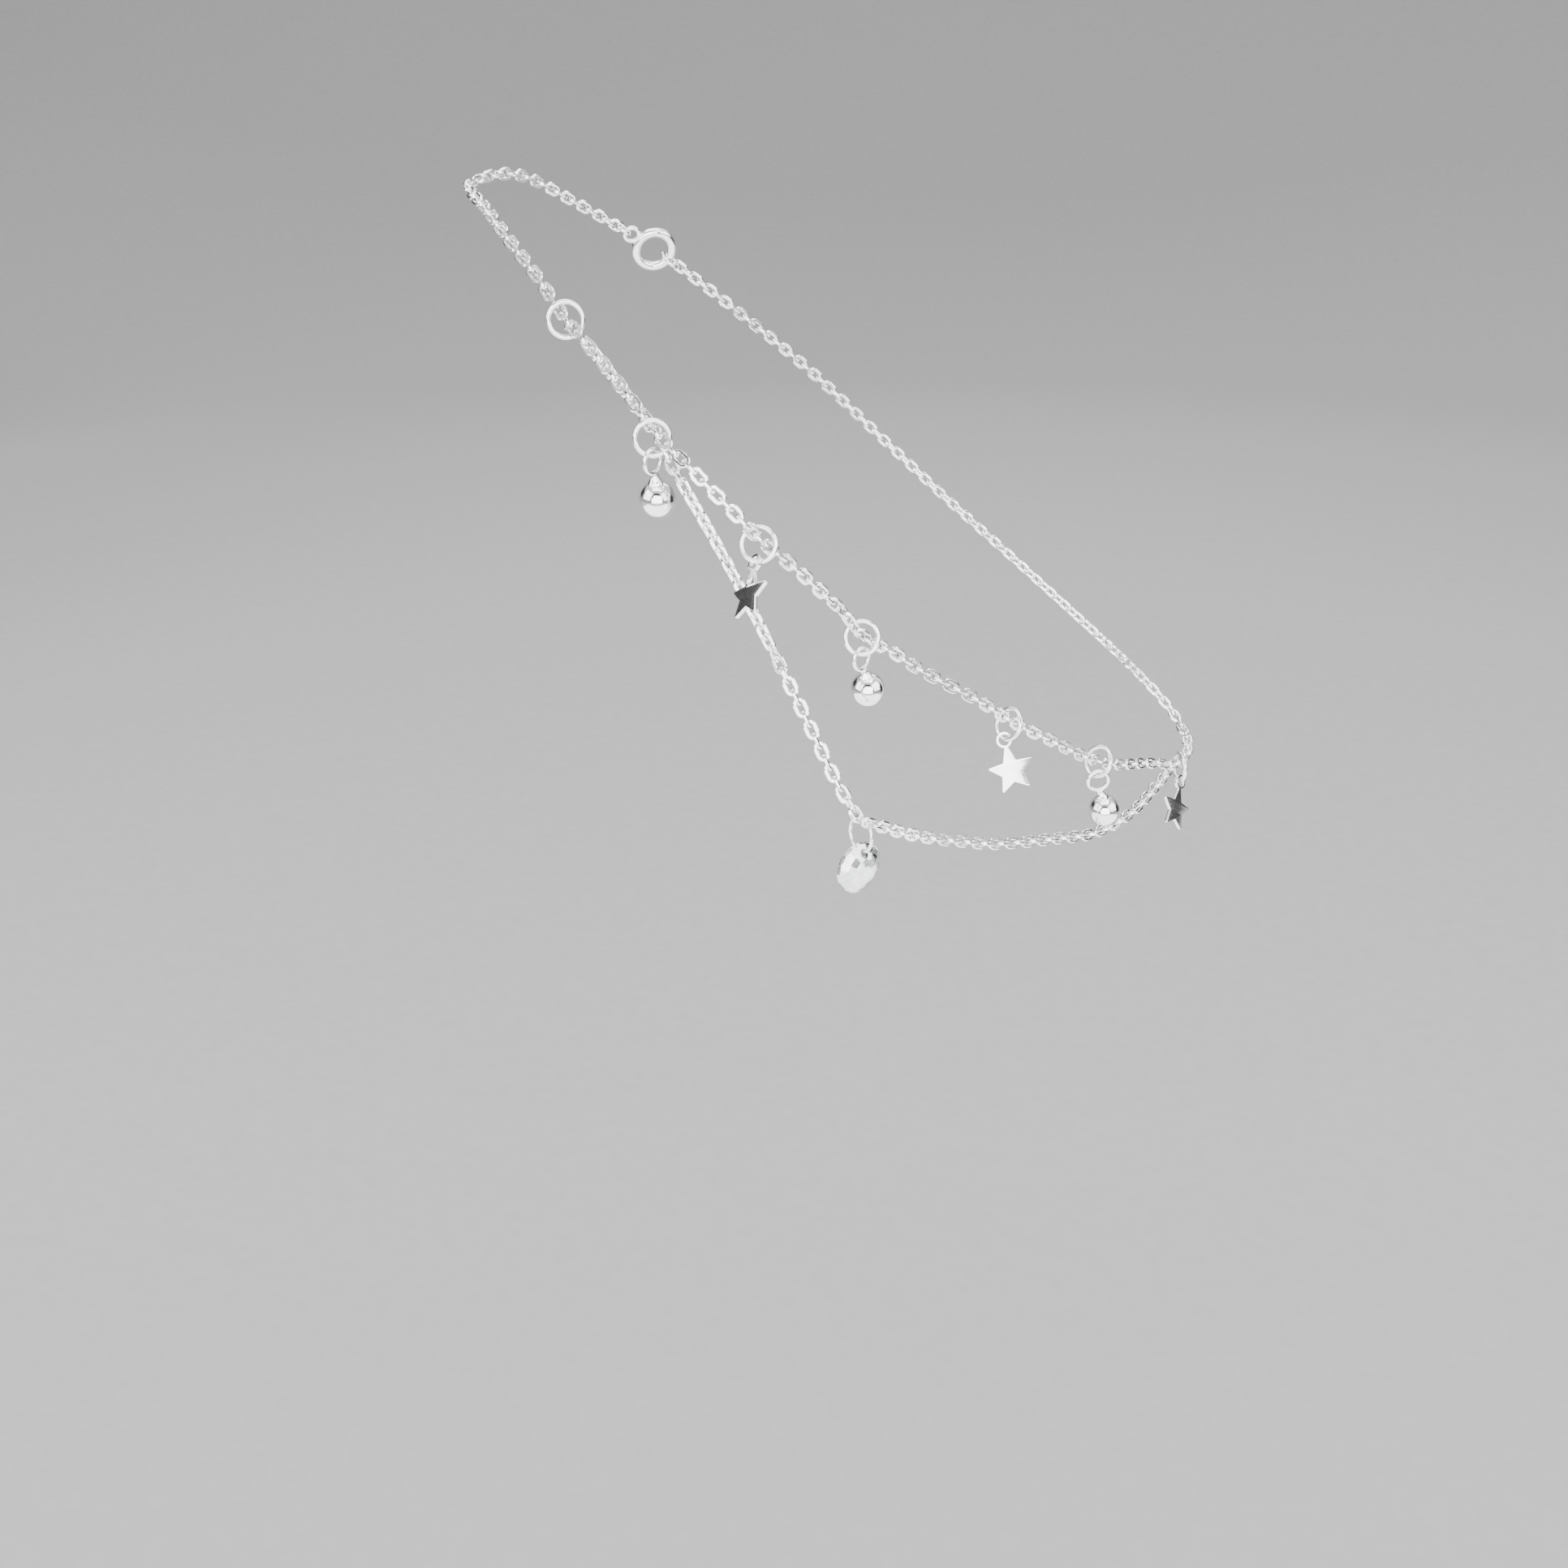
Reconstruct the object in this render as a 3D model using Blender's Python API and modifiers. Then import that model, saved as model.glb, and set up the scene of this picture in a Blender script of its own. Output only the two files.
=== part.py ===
"""Silver chain anklet with ball, star and crystal drops, at its real size.

Metres, +Z up. The origin is the middle of the loop, where the ankle goes through.
A facing is an azimuth, from -Y towards +X, and an elevation above level, in degrees.
"""

import math
from dataclasses import dataclass

import bmesh
import bpy
from mathutils import Matrix, Vector

MM = 0.001

# Room left between pieces that hook each other, and between pieces laid end to end
PLAY = 0.08 * MM
END_GAP = 0.3 * MM

# Cable chain of both strands
CHAIN_PITCH = 1.25 * MM
LINK_WIDTH = 1.45 * MM
LINK_WIRE = 0.42 * MM
LINK_FUSE = 0.05 * MM
LINK_SIDES = 10
LINK_WIRE_SIDES = 5

# The long chain's plain core, a little slimmer than its links
CORE_WIDTH = 0.95 * MM
CORE_STEP = 3.3 * MM
SECOND_CORE_WIDTH = 0.95 * MM
SECOND_CORE_GAP = 0.1 * MM
SECOND_CORE_START = 2.3 * MM
SECOND_CORE_END = 0.4 * MM

# Jump rings round the long chain
RING_OUTER = 3.9 * MM
RING_WIRE = 0.5 * MM
RING_SIDES = 14
RING_WIRE_SIDES = 6

# Ball drops: polished bead, turned cap, bail
BALL_DIAMETER = 3.7 * MM
BALL_SIDES = 16
BALL_RINGS = 10
CAP_BASE = 1.5 * MM
CAP_TOP = 0.8 * MM
CAP_HEIGHT = 0.95 * MM
CAP_SIDES = 12
CAP_SINK = 0.15 * MM
BAIL_OUTER = 2.8 * MM
BAIL_WIRE = 0.45 * MM
BAIL_SIDES = 12

# Star drops: a stamped star with its loop
STAR_RADIUS = 2.8 * MM
STAR_WAIST = 0.46
STAR_POINTS = 5
STAR_THICKNESS = 0.4 * MM
STAR_NECK = 0.44 * MM
STAR_LOOP_OUTER = 1.8 * MM
STAR_LOOP_HOLE = 1.14 * MM
STAR_LOOP_SIDES = 14
STAR_LOOP_SINK = 0.14 * MM
STAR_LOOP_THINNER = 0.04 * MM
# How far the star's top tip reaches into its loop
STAR_TIP_SINK = 0.2 * MM
# How far the ring's wire lies below the top of the star's hole
STAR_HANG = 0.2 * MM

# Crystal drop: drilled round stone, cut alike on both faces, on a wire ring
CRYSTAL_DIAMETER = 5.5 * MM
CRYSTAL_DEPTH = 2.6 * MM
CRYSTAL_GIRDLE = 0.3 * MM
CRYSTAL_SIDES = 16
CRYSTAL_HOLE = 0.9 * MM
CRYSTAL_HOLE_EDGE = 0.4 * MM
HOLE_SIDES = 10
CRYSTAL_RING_OUTER = 4.0 * MM
CRYSTAL_RING_WIRE = 0.38 * MM
CRYSTAL_RING_FACING = (-52.0, 4.0)
CRYSTAL_FACING = (41.0, 0.0)
# Where the lower strands hook the ring, in degrees either side of its top
CRYSTAL_RING_HOOK = 24.0

# Clasp: a spring ring's body with its eye
CLASP_OUTER = 5.5 * MM
CLASP_WIRE = 1.1 * MM
CLASP_SIDES = 20
CLASP_WIRE_SIDES = 8
EYE_OUTER = 2.2 * MM
EYE_WIRE = 0.5 * MM
EYE_SIDES = 12
EYE_SINK = 0.12 * MM

# Loop of the long chain, in millimetres, from the clasp round the back, the near side
# and the front, and home along the far side
MAIN_ROUTE = (
    (-24.0, 21.0, 24.0),
    (-32.0, 14.0, 30.0),
    (-37.0, 7.0, 33.5),
    (-40.5, 0.0, 33.0),
    (-36.5, -9.0, 31.0),
    (-31.0, -16.0, 26.5),
    (-25.0, -21.0, 20.5),
    (-18.5, -25.5, 14.0),
    (-12.0, -29.0, 8.0),
    (-5.5, -28.0, 1.5),
    (1.0, -24.5, -5.7),
    (7.5, -21.0, -12.2),
    (15.5, -18.5, -17.5),
    (23.0, -15.0, -23.0),
    (30.5, -10.5, -28.0),
    (36.5, -3.5, -31.0),
    (40.0, 0.0, -32.5),
    (42.5, 4.2, -33.4),
    (43.5, 9.2, -33.0),
    (41.5, 15.0, -30.8),
    (36.5, 20.0, -26.8),
    (29.5, 24.0, -21.5),
    (21.0, 27.0, -14.8),
    (12.0, 29.0, -7.5),
    (3.0, 29.5, 0.5),
    (-6.0, 28.8, 8.8),
    (-15.0, 26.0, 16.5),
)
# The lower strands between the rings that hold their ends, in millimetres
LOWER_LEFT_ROUTE = (
    (-14.5, -27.7, 7.5),
    (-10.2, -28.9, 0.0),
    (-4.0, -31.0, -11.5),
    (0.8, -32.8, -21.0),
)
LOWER_RIGHT_ROUTE = (
    (8.9, -29.4, -28.5),
    (14.1, -25.5, -31.0),
    (18.3, -22.4, -32.7),
    (25.0, -17.0, -34.6),
    (30.3, -12.2, -36.0),
    (35.2, -6.8, -35.6),
)
CRYSTAL_RING_AT = Vector((3.4, -34.0, -26.3)) * MM

SPLINE_STEPS = 24
DOWN = Vector((0.0, 0.0, -1.0))
SILVER = ("silver", (0.87, 0.87, 0.88, 1.0), 0.14, 1.0, 0.0)
CRYSTAL = ("crystal", (0.95, 0.96, 0.97, 1.0), 0.03, 0.0, 0.9)


@dataclass(frozen=True)
class Charm:
    """A jump ring on the long chain, and the drop that it holds."""

    kind: str
    station: float  # Share of the loop's length, from the clasp
    ring_facing: tuple  # Azimuth and elevation of the ring's face
    sag: float  # How far the ring hangs off the chain, as a share of the room in it
    hook: float  # Where the drop hangs, in degrees from the ring's lowest point
    drop_facing: tuple  # Azimuth and elevation of the bail's or the star's face
    lean: float  # Turn of the drop in its own plane, in degrees


CHARMS = (
    Charm("none", 0.2176, (15.0, 5.0), 0.3, 0.0, (0.0, 0.0), 0.0),
    Charm("ball", 0.2760, (14.0, 6.0), 1.0, -4.0, (57.0, 0.0), 8.0),
    Charm("star", 0.3328, (-4.0, 23.0), 0.85, -8.0, (-60.0, 32.0), 33.0),
    Charm("ball", 0.3946, (2.0, 20.0), 1.0, -4.0, (52.0, 0.0), 17.0),
    Charm("star", 0.4765, (-50.0, 23.0), 0.95, 0.0, (10.0, 20.0), 13.0),
    Charm("ball", 0.5296, (-49.0, 24.0), 0.0, 20.0, (10.0, 0.0), 15.0),
    Charm("star", 0.6008, (-76.0, 0.0), 0.9, 20.0, (50.0, 20.0), -36.0),
)
# Where the lower strands hook the second and the last ring, in degrees from the lowest point
LOWER_START_HOOK = 40.0
LOWER_END_HOOK = -80.0


def clear_scene():
    """Empty the scene, and make the collections for the parts and for the cutters."""
    for obj in list(bpy.data.objects):
        bpy.data.objects.remove(obj, do_unlink=True)
    made = []
    for name in ("anklet", "cutters"):
        collection = bpy.data.collections.new(name)
        bpy.context.scene.collection.children.link(collection)
        made.append(collection)
    return made


def finish_material(name, colour, roughness, metallic, transmission):
    """A plain material for one finish."""
    material = bpy.data.materials.new(name)
    material.use_nodes = True
    shader = material.node_tree.nodes["Principled BSDF"]
    shader.inputs["Base Color"].default_value = colour
    shader.inputs["Roughness"].default_value = roughness
    shader.inputs["Metallic"].default_value = metallic
    shader.inputs["Transmission Weight"].default_value = transmission
    return material


class Route:
    """A smooth curve through a few chosen points, read by its length."""

    def __init__(self, points, closed=False):
        self.closed = closed
        self.points = smooth_points(points, closed)
        self.reach = [0.0]
        for first, second in zip(self.points, self.points[1:]):
            self.reach.append(self.reach[-1] + (second - first).length)
        self.length = self.reach[-1]

    def at(self, distance):
        """The point this far along. An open route runs on straight past its ends."""
        if self.closed:
            distance %= self.length
        low = max(i for i in range(len(self.reach) - 1) if self.reach[i] <= max(distance, 0.0))
        span = self.reach[low + 1] - self.reach[low]
        share = (distance - self.reach[low]) / span
        return self.points[low].lerp(self.points[low + 1], share)

    def heading(self, distance):
        """The direction of travel this far along."""
        step = CHAIN_PITCH / 4
        return (self.at(distance + step) - self.at(distance - step)).normalized()


def smooth_points(points, closed):
    """Points of a Catmull-Rom curve through the chosen points."""
    count = len(points)
    made = []
    for i in range(count if closed else count - 1):
        here, after = points[i], points[(i + 1) % count]
        before = points[i - 1] if closed or i else 2 * here - after
        beyond = points[(i + 2) % count] if closed or i + 2 < count else 2 * after - here
        for step in range(SPLINE_STEPS):
            t = step / SPLINE_STEPS
            made.append(
                0.5
                * (
                    2 * here
                    + (after - before) * t
                    + (2 * before - 5 * here + 4 * after - beyond) * t**2
                    + (3 * here - before - 3 * after + beyond) * t**3
                )
            )
    made.append(points[0].copy() if closed else points[-1].copy())
    return made


def chosen(points):
    """Route points as vectors in metres."""
    return [Vector(point) * MM for point in points]


def facing(angles):
    """The unit vector that a facing points along."""
    azimuth, elevation = (math.radians(angle) for angle in angles)
    level = math.cos(elevation)
    return Vector((math.sin(azimuth) * level, -math.cos(azimuth) * level, math.sin(elevation)))


def across(direction, normal):
    """The direction with its part along the normal taken away."""
    return (direction - direction.dot(normal) * normal).normalized()


def frame(origin, normal, up):
    """A placing whose Z is the normal and whose Y is as near up as it can be."""
    y_axis = across(up, normal)
    x_axis = y_axis.cross(normal)
    matrix = Matrix((x_axis, y_axis, normal)).transposed().to_4x4()
    matrix.translation = origin
    return matrix


def turned(direction, normal, degrees):
    """The direction turned about the normal."""
    return Matrix.Rotation(math.radians(degrees), 3, normal) @ direction


def add_object(name, mesh, collection, material, place=None):
    """An object of this mesh, in its collection, with its own material."""
    if not mesh.materials:
        mesh.materials.append(material)
    obj = bpy.data.objects.new(name, mesh)
    if place is not None:
        obj.matrix_world = place
    collection.objects.link(obj)
    return obj


def evaluated_mesh(obj):
    """The object's mesh with its modifiers or bevel made real and its points welded."""
    graph = bpy.context.evaluated_depsgraph_get()
    mesh = bpy.data.meshes.new_from_object(obj.evaluated_get(graph))
    editable = bmesh.new()
    editable.from_mesh(mesh)
    bmesh.ops.remove_doubles(editable, verts=editable.verts, dist=0.001 * MM)
    editable.to_mesh(mesh)
    editable.free()
    mesh.transform(obj.matrix_world)
    return mesh


def fused(meshes):
    """One mesh: the first with each of the others joined to it by a Boolean union."""
    helpers = [bpy.data.objects.new("helper", mesh) for mesh in meshes]
    for helper in helpers:
        bpy.context.scene.collection.objects.link(helper)
    for helper in helpers[1:]:
        union = helpers[0].modifiers.new("fuse", "BOOLEAN")
        union.operation = "UNION"
        union.solver = "EXACT"
        union.object = helper
    bpy.context.view_layer.update()
    mesh = evaluated_mesh(helpers[0])
    for helper in helpers:
        bpy.data.objects.remove(helper)
    return mesh


def shaded_smooth(mesh, degrees):
    """Shade the mesh smooth, with the edges that are sharper than this kept."""
    mesh.shade_smooth()
    mesh.set_sharp_from_angle(angle=math.radians(degrees))
    return mesh


def torus_mesh(name, outer, wire, sides, wire_sides):
    """A closed wire ring round Z, of this outer diameter and wire."""
    bpy.ops.mesh.primitive_torus_add(
        major_radius=(outer - wire) / 2,
        minor_radius=wire / 2,
        major_segments=sides,
        minor_segments=wire_sides,
    )
    made = bpy.context.object
    mesh = made.data
    mesh.name = name
    bpy.data.objects.remove(made)
    return shaded_smooth(mesh, 80)


def flat_mesh(outlines, thickness):
    """A plate of this thickness from closed outlines, an inner one being a hole."""
    curve = bpy.data.curves.new("outline", "CURVE")
    curve.dimensions = "2D"
    curve.fill_mode = "BOTH"
    curve.extrude = thickness / 2
    for outline in outlines:
        spline = curve.splines.new("POLY")
        spline.points.add(len(outline) - 1)
        for point, (x, y) in zip(spline.points, outline):
            point.co = (x, y, 0.0, 1.0)
        spline.use_cyclic_u = True
    obj = bpy.data.objects.new("outline", curve)
    bpy.context.scene.collection.objects.link(obj)
    bpy.context.view_layer.update()
    mesh = evaluated_mesh(obj)
    bpy.data.objects.remove(obj)
    bpy.data.curves.remove(curve)
    return mesh


def circle(radius, sides, centre=(0.0, 0.0)):
    """Corners of a regular polygon."""
    turn = 2 * math.pi / sides
    return [
        (centre[0] + radius * math.cos(i * turn), centre[1] + radius * math.sin(i * turn))
        for i in range(sides)
    ]


def core_tube(name, points, width, collection, material):
    """A plain round tube through the points, with filled ends."""
    curve = bpy.data.curves.new(name, "CURVE")
    curve.dimensions = "3D"
    curve.bevel_depth = width / 2
    curve.bevel_resolution = 2
    curve.use_fill_caps = True
    spline = curve.splines.new("POLY")
    spline.points.add(len(points) - 1)
    for point, place in zip(spline.points, points):
        point.co = (*place, 1.0)
    curve.materials.append(material)
    obj = bpy.data.objects.new(name, curve)
    collection.objects.link(obj)
    return obj


def stepped(start, end, step):
    """Even distances from start to end, about a step apart."""
    count = max(1, round((end - start) / step))
    return [start + (end - start) * i / count for i in range(count + 1)]


def ring_room(tilt):
    """How far the chain's middle may lie off the middle of a ring that it passes through."""
    inner = (RING_OUTER / 2 - RING_WIRE) * math.cos(math.pi / RING_SIDES) - PLAY
    narrow = CORE_WIDTH / 2
    wide = narrow / math.sin(tilt)
    room = math.cos(tilt) * math.sqrt(inner**2 - wide**2)
    if room * narrow > wide**2 - narrow**2:
        room = inner - narrow
    return room


@dataclass
class PlacedRing:
    """A ring where it hangs: its middle, its face and its wire's radius."""

    centre: Vector
    normal: Vector
    radius: float

    def outward(self, degrees):
        """The direction from the middle to the wire, this far round from its lowest point."""
        return turned(across(DOWN, self.normal), self.normal, degrees)

    def wire_point(self, degrees):
        """A point on the wire's middle line, this far round from its lowest point."""
        return self.centre + self.outward(degrees) * self.radius

    def along_wire(self, degrees):
        """The wire's direction there."""
        return self.normal.cross(self.outward(degrees))


def placed_ring(charm, route):
    """Hang a charm's ring on the long chain."""
    distance = charm.station * route.length
    normal = facing(charm.ring_facing)
    heading = route.heading(distance)
    tilt = math.asin(min(1.0, abs(normal.dot(heading))))
    aside = normal.cross(across(heading, normal))
    if aside.dot(DOWN) < 0:
        aside.negate()
    offset = aside * ring_room(tilt) * charm.sag
    return PlacedRing(route.at(distance) + offset, normal, (RING_OUTER - RING_WIRE) / 2)


def ball_drop_mesh():
    """Bead, cap and bail as one solid. The bail's middle is at the origin and the bead below."""
    bail_radius = (BAIL_OUTER - BAIL_WIRE) / 2
    cap_top = -bail_radius - BAIL_WIRE / 2 + CAP_SINK
    ball_centre = cap_top - CAP_HEIGHT - BALL_DIAMETER / 2 + CAP_SINK
    ball = bmesh.new()
    bmesh.ops.create_uvsphere(
        ball, u_segments=BALL_SIDES, v_segments=BALL_RINGS, radius=BALL_DIAMETER / 2
    )
    cap = bmesh.new()
    bmesh.ops.create_cone(
        cap,
        cap_ends=True,
        segments=CAP_SIDES,
        radius1=CAP_BASE / 2,
        radius2=CAP_TOP / 2,
        depth=CAP_HEIGHT,
    )
    meshes = []
    for editable, height in ((ball, ball_centre), (cap, cap_top - CAP_HEIGHT / 2)):
        bmesh.ops.rotate(editable, matrix=Matrix.Rotation(-math.pi / 2, 3, "X"), verts=editable.verts)
        bmesh.ops.translate(editable, vec=(0.0, height, 0.0), verts=editable.verts)
        mesh = bpy.data.meshes.new("ball_drop")
        editable.to_mesh(mesh)
        editable.free()
        meshes.append(mesh)
    meshes.append(torus_mesh("bail", BAIL_OUTER, BAIL_WIRE, BAIL_SIDES, RING_WIRE_SIDES))
    return shaded_smooth(fused(meshes), 50)


def star_drop_mesh():
    """Star and loop as one solid. The loop's middle is at the origin and the star below."""
    loop_radius = STAR_LOOP_OUTER / 2
    star_centre = STAR_TIP_SINK - loop_radius - STAR_RADIUS
    outline = []
    for i in range(1, 2 * STAR_POINTS):
        radius = STAR_RADIUS * STAR_WAIST if i % 2 else STAR_RADIUS
        angle = math.pi / 2 + i * math.pi / STAR_POINTS
        outline.append((radius * math.cos(angle), star_centre + radius * math.sin(angle)))
    neck_top = STAR_LOOP_SINK - loop_radius
    outline += [(STAR_NECK / 2, neck_top), (-STAR_NECK / 2, neck_top)]
    star = flat_mesh([outline], STAR_THICKNESS)
    loop = flat_mesh(
        [circle(loop_radius, STAR_LOOP_SIDES), circle(STAR_LOOP_HOLE / 2, STAR_LOOP_SIDES)],
        STAR_THICKNESS - STAR_LOOP_THINNER,
    )
    return shaded_smooth(fused([star, loop]), 40)


def place_drop(charm, ring, number, meshes, collection, material):
    """Hang a charm's ball or star on its ring."""
    normal = facing(charm.drop_facing)
    up = turned(across(-DOWN, normal), normal, charm.lean)
    hook = ring.wire_point(charm.hook)
    if charm.kind == "ball":
        lift = (RING_WIRE + BAIL_WIRE) / 2 + PLAY - (BAIL_OUTER - BAIL_WIRE) / 2
    else:
        lift = RING_WIRE / 2 + STAR_HANG - STAR_LOOP_HOLE / 2
    place = frame(hook + up * lift, normal, up)
    name = f"{charm.kind}_drop_{number}"
    return add_object(name, meshes[charm.kind], collection, material, place)


def link_mesh():
    """One oval link along X, flat in XY: a torus drawn out to the chain's pitch."""
    touch = LINK_WIRE * math.cos(math.pi / LINK_WIRE_SIDES) - LINK_FUSE
    half_length = (CHAIN_PITCH + touch) / 2
    half_width = (LINK_WIDTH - LINK_WIRE) / 2
    mesh = torus_mesh("link", LINK_WIDTH, LINK_WIRE, LINK_SIDES, LINK_WIRE_SIDES)
    for vertex in mesh.vertices:
        vertex.co.x += math.copysign(half_length - half_width, vertex.co.x)
    return mesh, half_length


@dataclass
class StrandEnd:
    """Where a strand's last link hooks a ring: the wire's middle, direction and thickness."""

    point: Vector
    wire_along: Vector
    wire: float


def strand(name, points, ends, collection, material):
    """Real links from ring to ring, fused where they touch into one body."""
    template, half_length = link_mesh()
    route = Route([ends[0].point, *chosen(points), ends[1].point])
    hooks = [(end.wire + LINK_WIRE) / 2 + PLAY - half_length for end in ends]
    places = stepped(-hooks[0], route.length + hooks[1], CHAIN_PITCH)
    headings = [route.heading(place) for place in places]
    normals = [across(ends[0].wire_along, headings[0])]
    for heading in headings[1:]:
        normals.append(across(normals[-1], heading))
    wanted = across(ends[1].wire_along, headings[-1])
    last = len(places) - 1
    twist = math.atan2(normals[-1].cross(wanted).dot(headings[-1]), normals[-1].dot(wanted))
    twist = math.remainder(twist - last * math.pi / 2, math.pi)
    halves = [bmesh.new(), bmesh.new()]
    for i, (place, heading, normal) in enumerate(zip(places, headings, normals)):
        turn = math.degrees(twist * i / last) + 90 * i
        face = turned(normal, heading, turn)
        matrix = frame(route.at(place), face, face.cross(heading))
        copy = template.copy()
        copy.transform(matrix)
        halves[i % 2].from_mesh(copy)
        bpy.data.meshes.remove(copy)
    meshes = []
    for editable in halves:
        mesh = bpy.data.meshes.new(name)
        editable.to_mesh(mesh)
        editable.free()
        meshes.append(mesh)
    return add_object(name, shaded_smooth(fused(meshes), 80), collection, material)


def build_crystal(ring, collection, cutters, silver, crystal):
    """The wire ring and the drilled stone that hangs on it."""
    mesh = torus_mesh(
        "crystal_ring", CRYSTAL_RING_OUTER, CRYSTAL_RING_WIRE, RING_SIDES, RING_WIRE_SIDES
    )
    add_object("crystal_ring", mesh, collection, silver, frame(ring.centre, ring.normal, -DOWN))
    radius = CRYSTAL_DIAMETER / 2
    half = CRYSTAL_DEPTH / 2
    profile = (
        (0.0, half),
        (radius * 0.40, half),
        (radius * 0.72, half * 0.78),
        (radius, CRYSTAL_GIRDLE / 2),
    )
    points = list(profile) + [(x, -z) for x, z in reversed(profile)]
    mesh = bpy.data.meshes.new("crystal_stone")
    mesh.from_pydata([(x, 0.0, z) for x, z in points], [(i, i + 1) for i in range(7)], [])
    hole_off = radius - CRYSTAL_HOLE_EDGE - CRYSTAL_HOLE / 2
    bend = ring.radius - math.sqrt(ring.radius**2 - (CRYSTAL_DEPTH / 4) ** 2)
    slack = (CRYSTAL_HOLE - CRYSTAL_RING_WIRE) / 2 - PLAY - bend
    normal = facing(CRYSTAL_FACING)
    up = across(-DOWN, normal)
    centre = ring.wire_point(0.0) - up * (hole_off + slack)
    place = frame(centre, normal, up)
    stone = add_object("crystal_stone", mesh, collection, crystal, place)
    turn = stone.modifiers.new("turn", "SCREW")
    turn.axis = "Z"
    turn.steps = CRYSTAL_SIDES
    turn.render_steps = CRYSTAL_SIDES
    turn.use_merge_vertices = True
    turn.merge_threshold = 0.001 * MM
    bpy.ops.mesh.primitive_cylinder_add(
        vertices=HOLE_SIDES, radius=CRYSTAL_HOLE / 2, depth=CRYSTAL_DEPTH * 1.5
    )
    drill = bpy.context.object
    drill.name = "drill"
    drill.matrix_world = place @ Matrix.Translation((0.0, hole_off, 0.0))
    for owner in list(drill.users_collection):
        owner.objects.unlink(drill)
    cutters.objects.link(drill)
    drill.hide_render = True
    drill.display_type = "WIRE"
    cut = stone.modifiers.new("hole", "BOOLEAN")
    cut.operation = "DIFFERENCE"
    cut.solver = "EXACT"
    cut.object = drill


def build_clasp(route, collection, material):
    """The clasp's ring with its eye, one plain piece."""
    ring = torus_mesh("clasp", CLASP_OUTER, CLASP_WIRE, CLASP_SIDES, CLASP_WIRE_SIDES)
    eye = torus_mesh("eye", EYE_OUTER, EYE_WIRE, EYE_SIDES, RING_WIRE_SIDES)
    eye.transform(Matrix.Translation((eye_reach(), 0.0, 0.0)))
    mesh = shaded_smooth(fused([ring, eye]), 80)
    heading = route.heading(0.0)
    outward = across(route.at(0.0), heading)
    add_object("clasp", mesh, collection, material, frame(route.at(0.0), outward, outward.cross(heading)))


def eye_reach():
    """From the clasp's middle to its eye's."""
    return (CLASP_OUTER + EYE_OUTER) / 2 - EYE_WIRE / 2 - EYE_SINK


def main():
    """Build every piece of the anklet."""
    parts, cutters = clear_scene()
    silver = finish_material(*SILVER)
    crystal = finish_material(*CRYSTAL)
    route = Route(chosen(MAIN_ROUTE), closed=True)
    rings = [placed_ring(charm, route) for charm in CHARMS]

    build_clasp(route, parts, silver)
    start = eye_reach() + EYE_OUTER / 2 + END_GAP
    end = route.length - CLASP_OUTER / 2 - END_GAP
    places = [route.at(distance) for distance in stepped(start, end, CORE_STEP)]
    core_tube("main_chain", places, CORE_WIDTH, parts, silver)

    start = CHARMS[0].station * route.length + SECOND_CORE_START
    end = CHARMS[1].station * route.length + SECOND_CORE_END
    behind = (CORE_WIDTH + SECOND_CORE_WIDTH) / 2 + SECOND_CORE_GAP
    places = []
    for distance in stepped(start, end, CORE_STEP):
        inward = across(-route.at(distance), route.heading(distance))
        places.append(route.at(distance) + inward * behind)
    core_tube("second_chain", places, SECOND_CORE_WIDTH, parts, silver)

    ring_mesh = torus_mesh("jump_ring", RING_OUTER, RING_WIRE, RING_SIDES, RING_WIRE_SIDES)
    meshes = {"ball": ball_drop_mesh(), "star": star_drop_mesh()}
    numbers = {"ball": 0, "star": 0}
    for i, (charm, ring) in enumerate(zip(CHARMS, rings)):
        place = frame(ring.centre, ring.normal, -DOWN)
        add_object(f"jump_ring_{i + 1}", ring_mesh, parts, silver, place)
        if charm.kind in meshes:
            numbers[charm.kind] += 1
            place_drop(charm, ring, numbers[charm.kind], meshes, parts, silver)

    crystal_ring = PlacedRing(
        CRYSTAL_RING_AT, facing(CRYSTAL_RING_FACING), (CRYSTAL_RING_OUTER - CRYSTAL_RING_WIRE) / 2
    )
    build_crystal(crystal_ring, parts, cutters, silver, crystal)
    hooks = (
        (rings[1], LOWER_START_HOOK, RING_WIRE),
        (crystal_ring, 180.0 + CRYSTAL_RING_HOOK, CRYSTAL_RING_WIRE),
        (crystal_ring, 180.0 - CRYSTAL_RING_HOOK, CRYSTAL_RING_WIRE),
        (rings[-1], LOWER_END_HOOK, RING_WIRE),
    )
    ends = [StrandEnd(ring.wire_point(a), ring.along_wire(a), wire) for ring, a, wire in hooks]
    strand("lower_chain_left", LOWER_LEFT_ROUTE, ends[:2], parts, silver)
    strand("lower_chain_right", LOWER_RIGHT_ROUTE, ends[2:], parts, silver)


main()
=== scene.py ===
"""Looks of a silver chain anklet: real links, rings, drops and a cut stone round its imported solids.

Sizes are in metres and the frame is that of the solids: +Z up, the loop's middle at the origin.
Each sub-assembly is a class with its sizes as fields, and each finish is a small frozen class.
"""

import bisect
import logging
import math
from dataclasses import dataclass, field
from enum import Enum

import bmesh
import bpy
import numpy as np
from mathutils import Matrix, Vector


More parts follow.
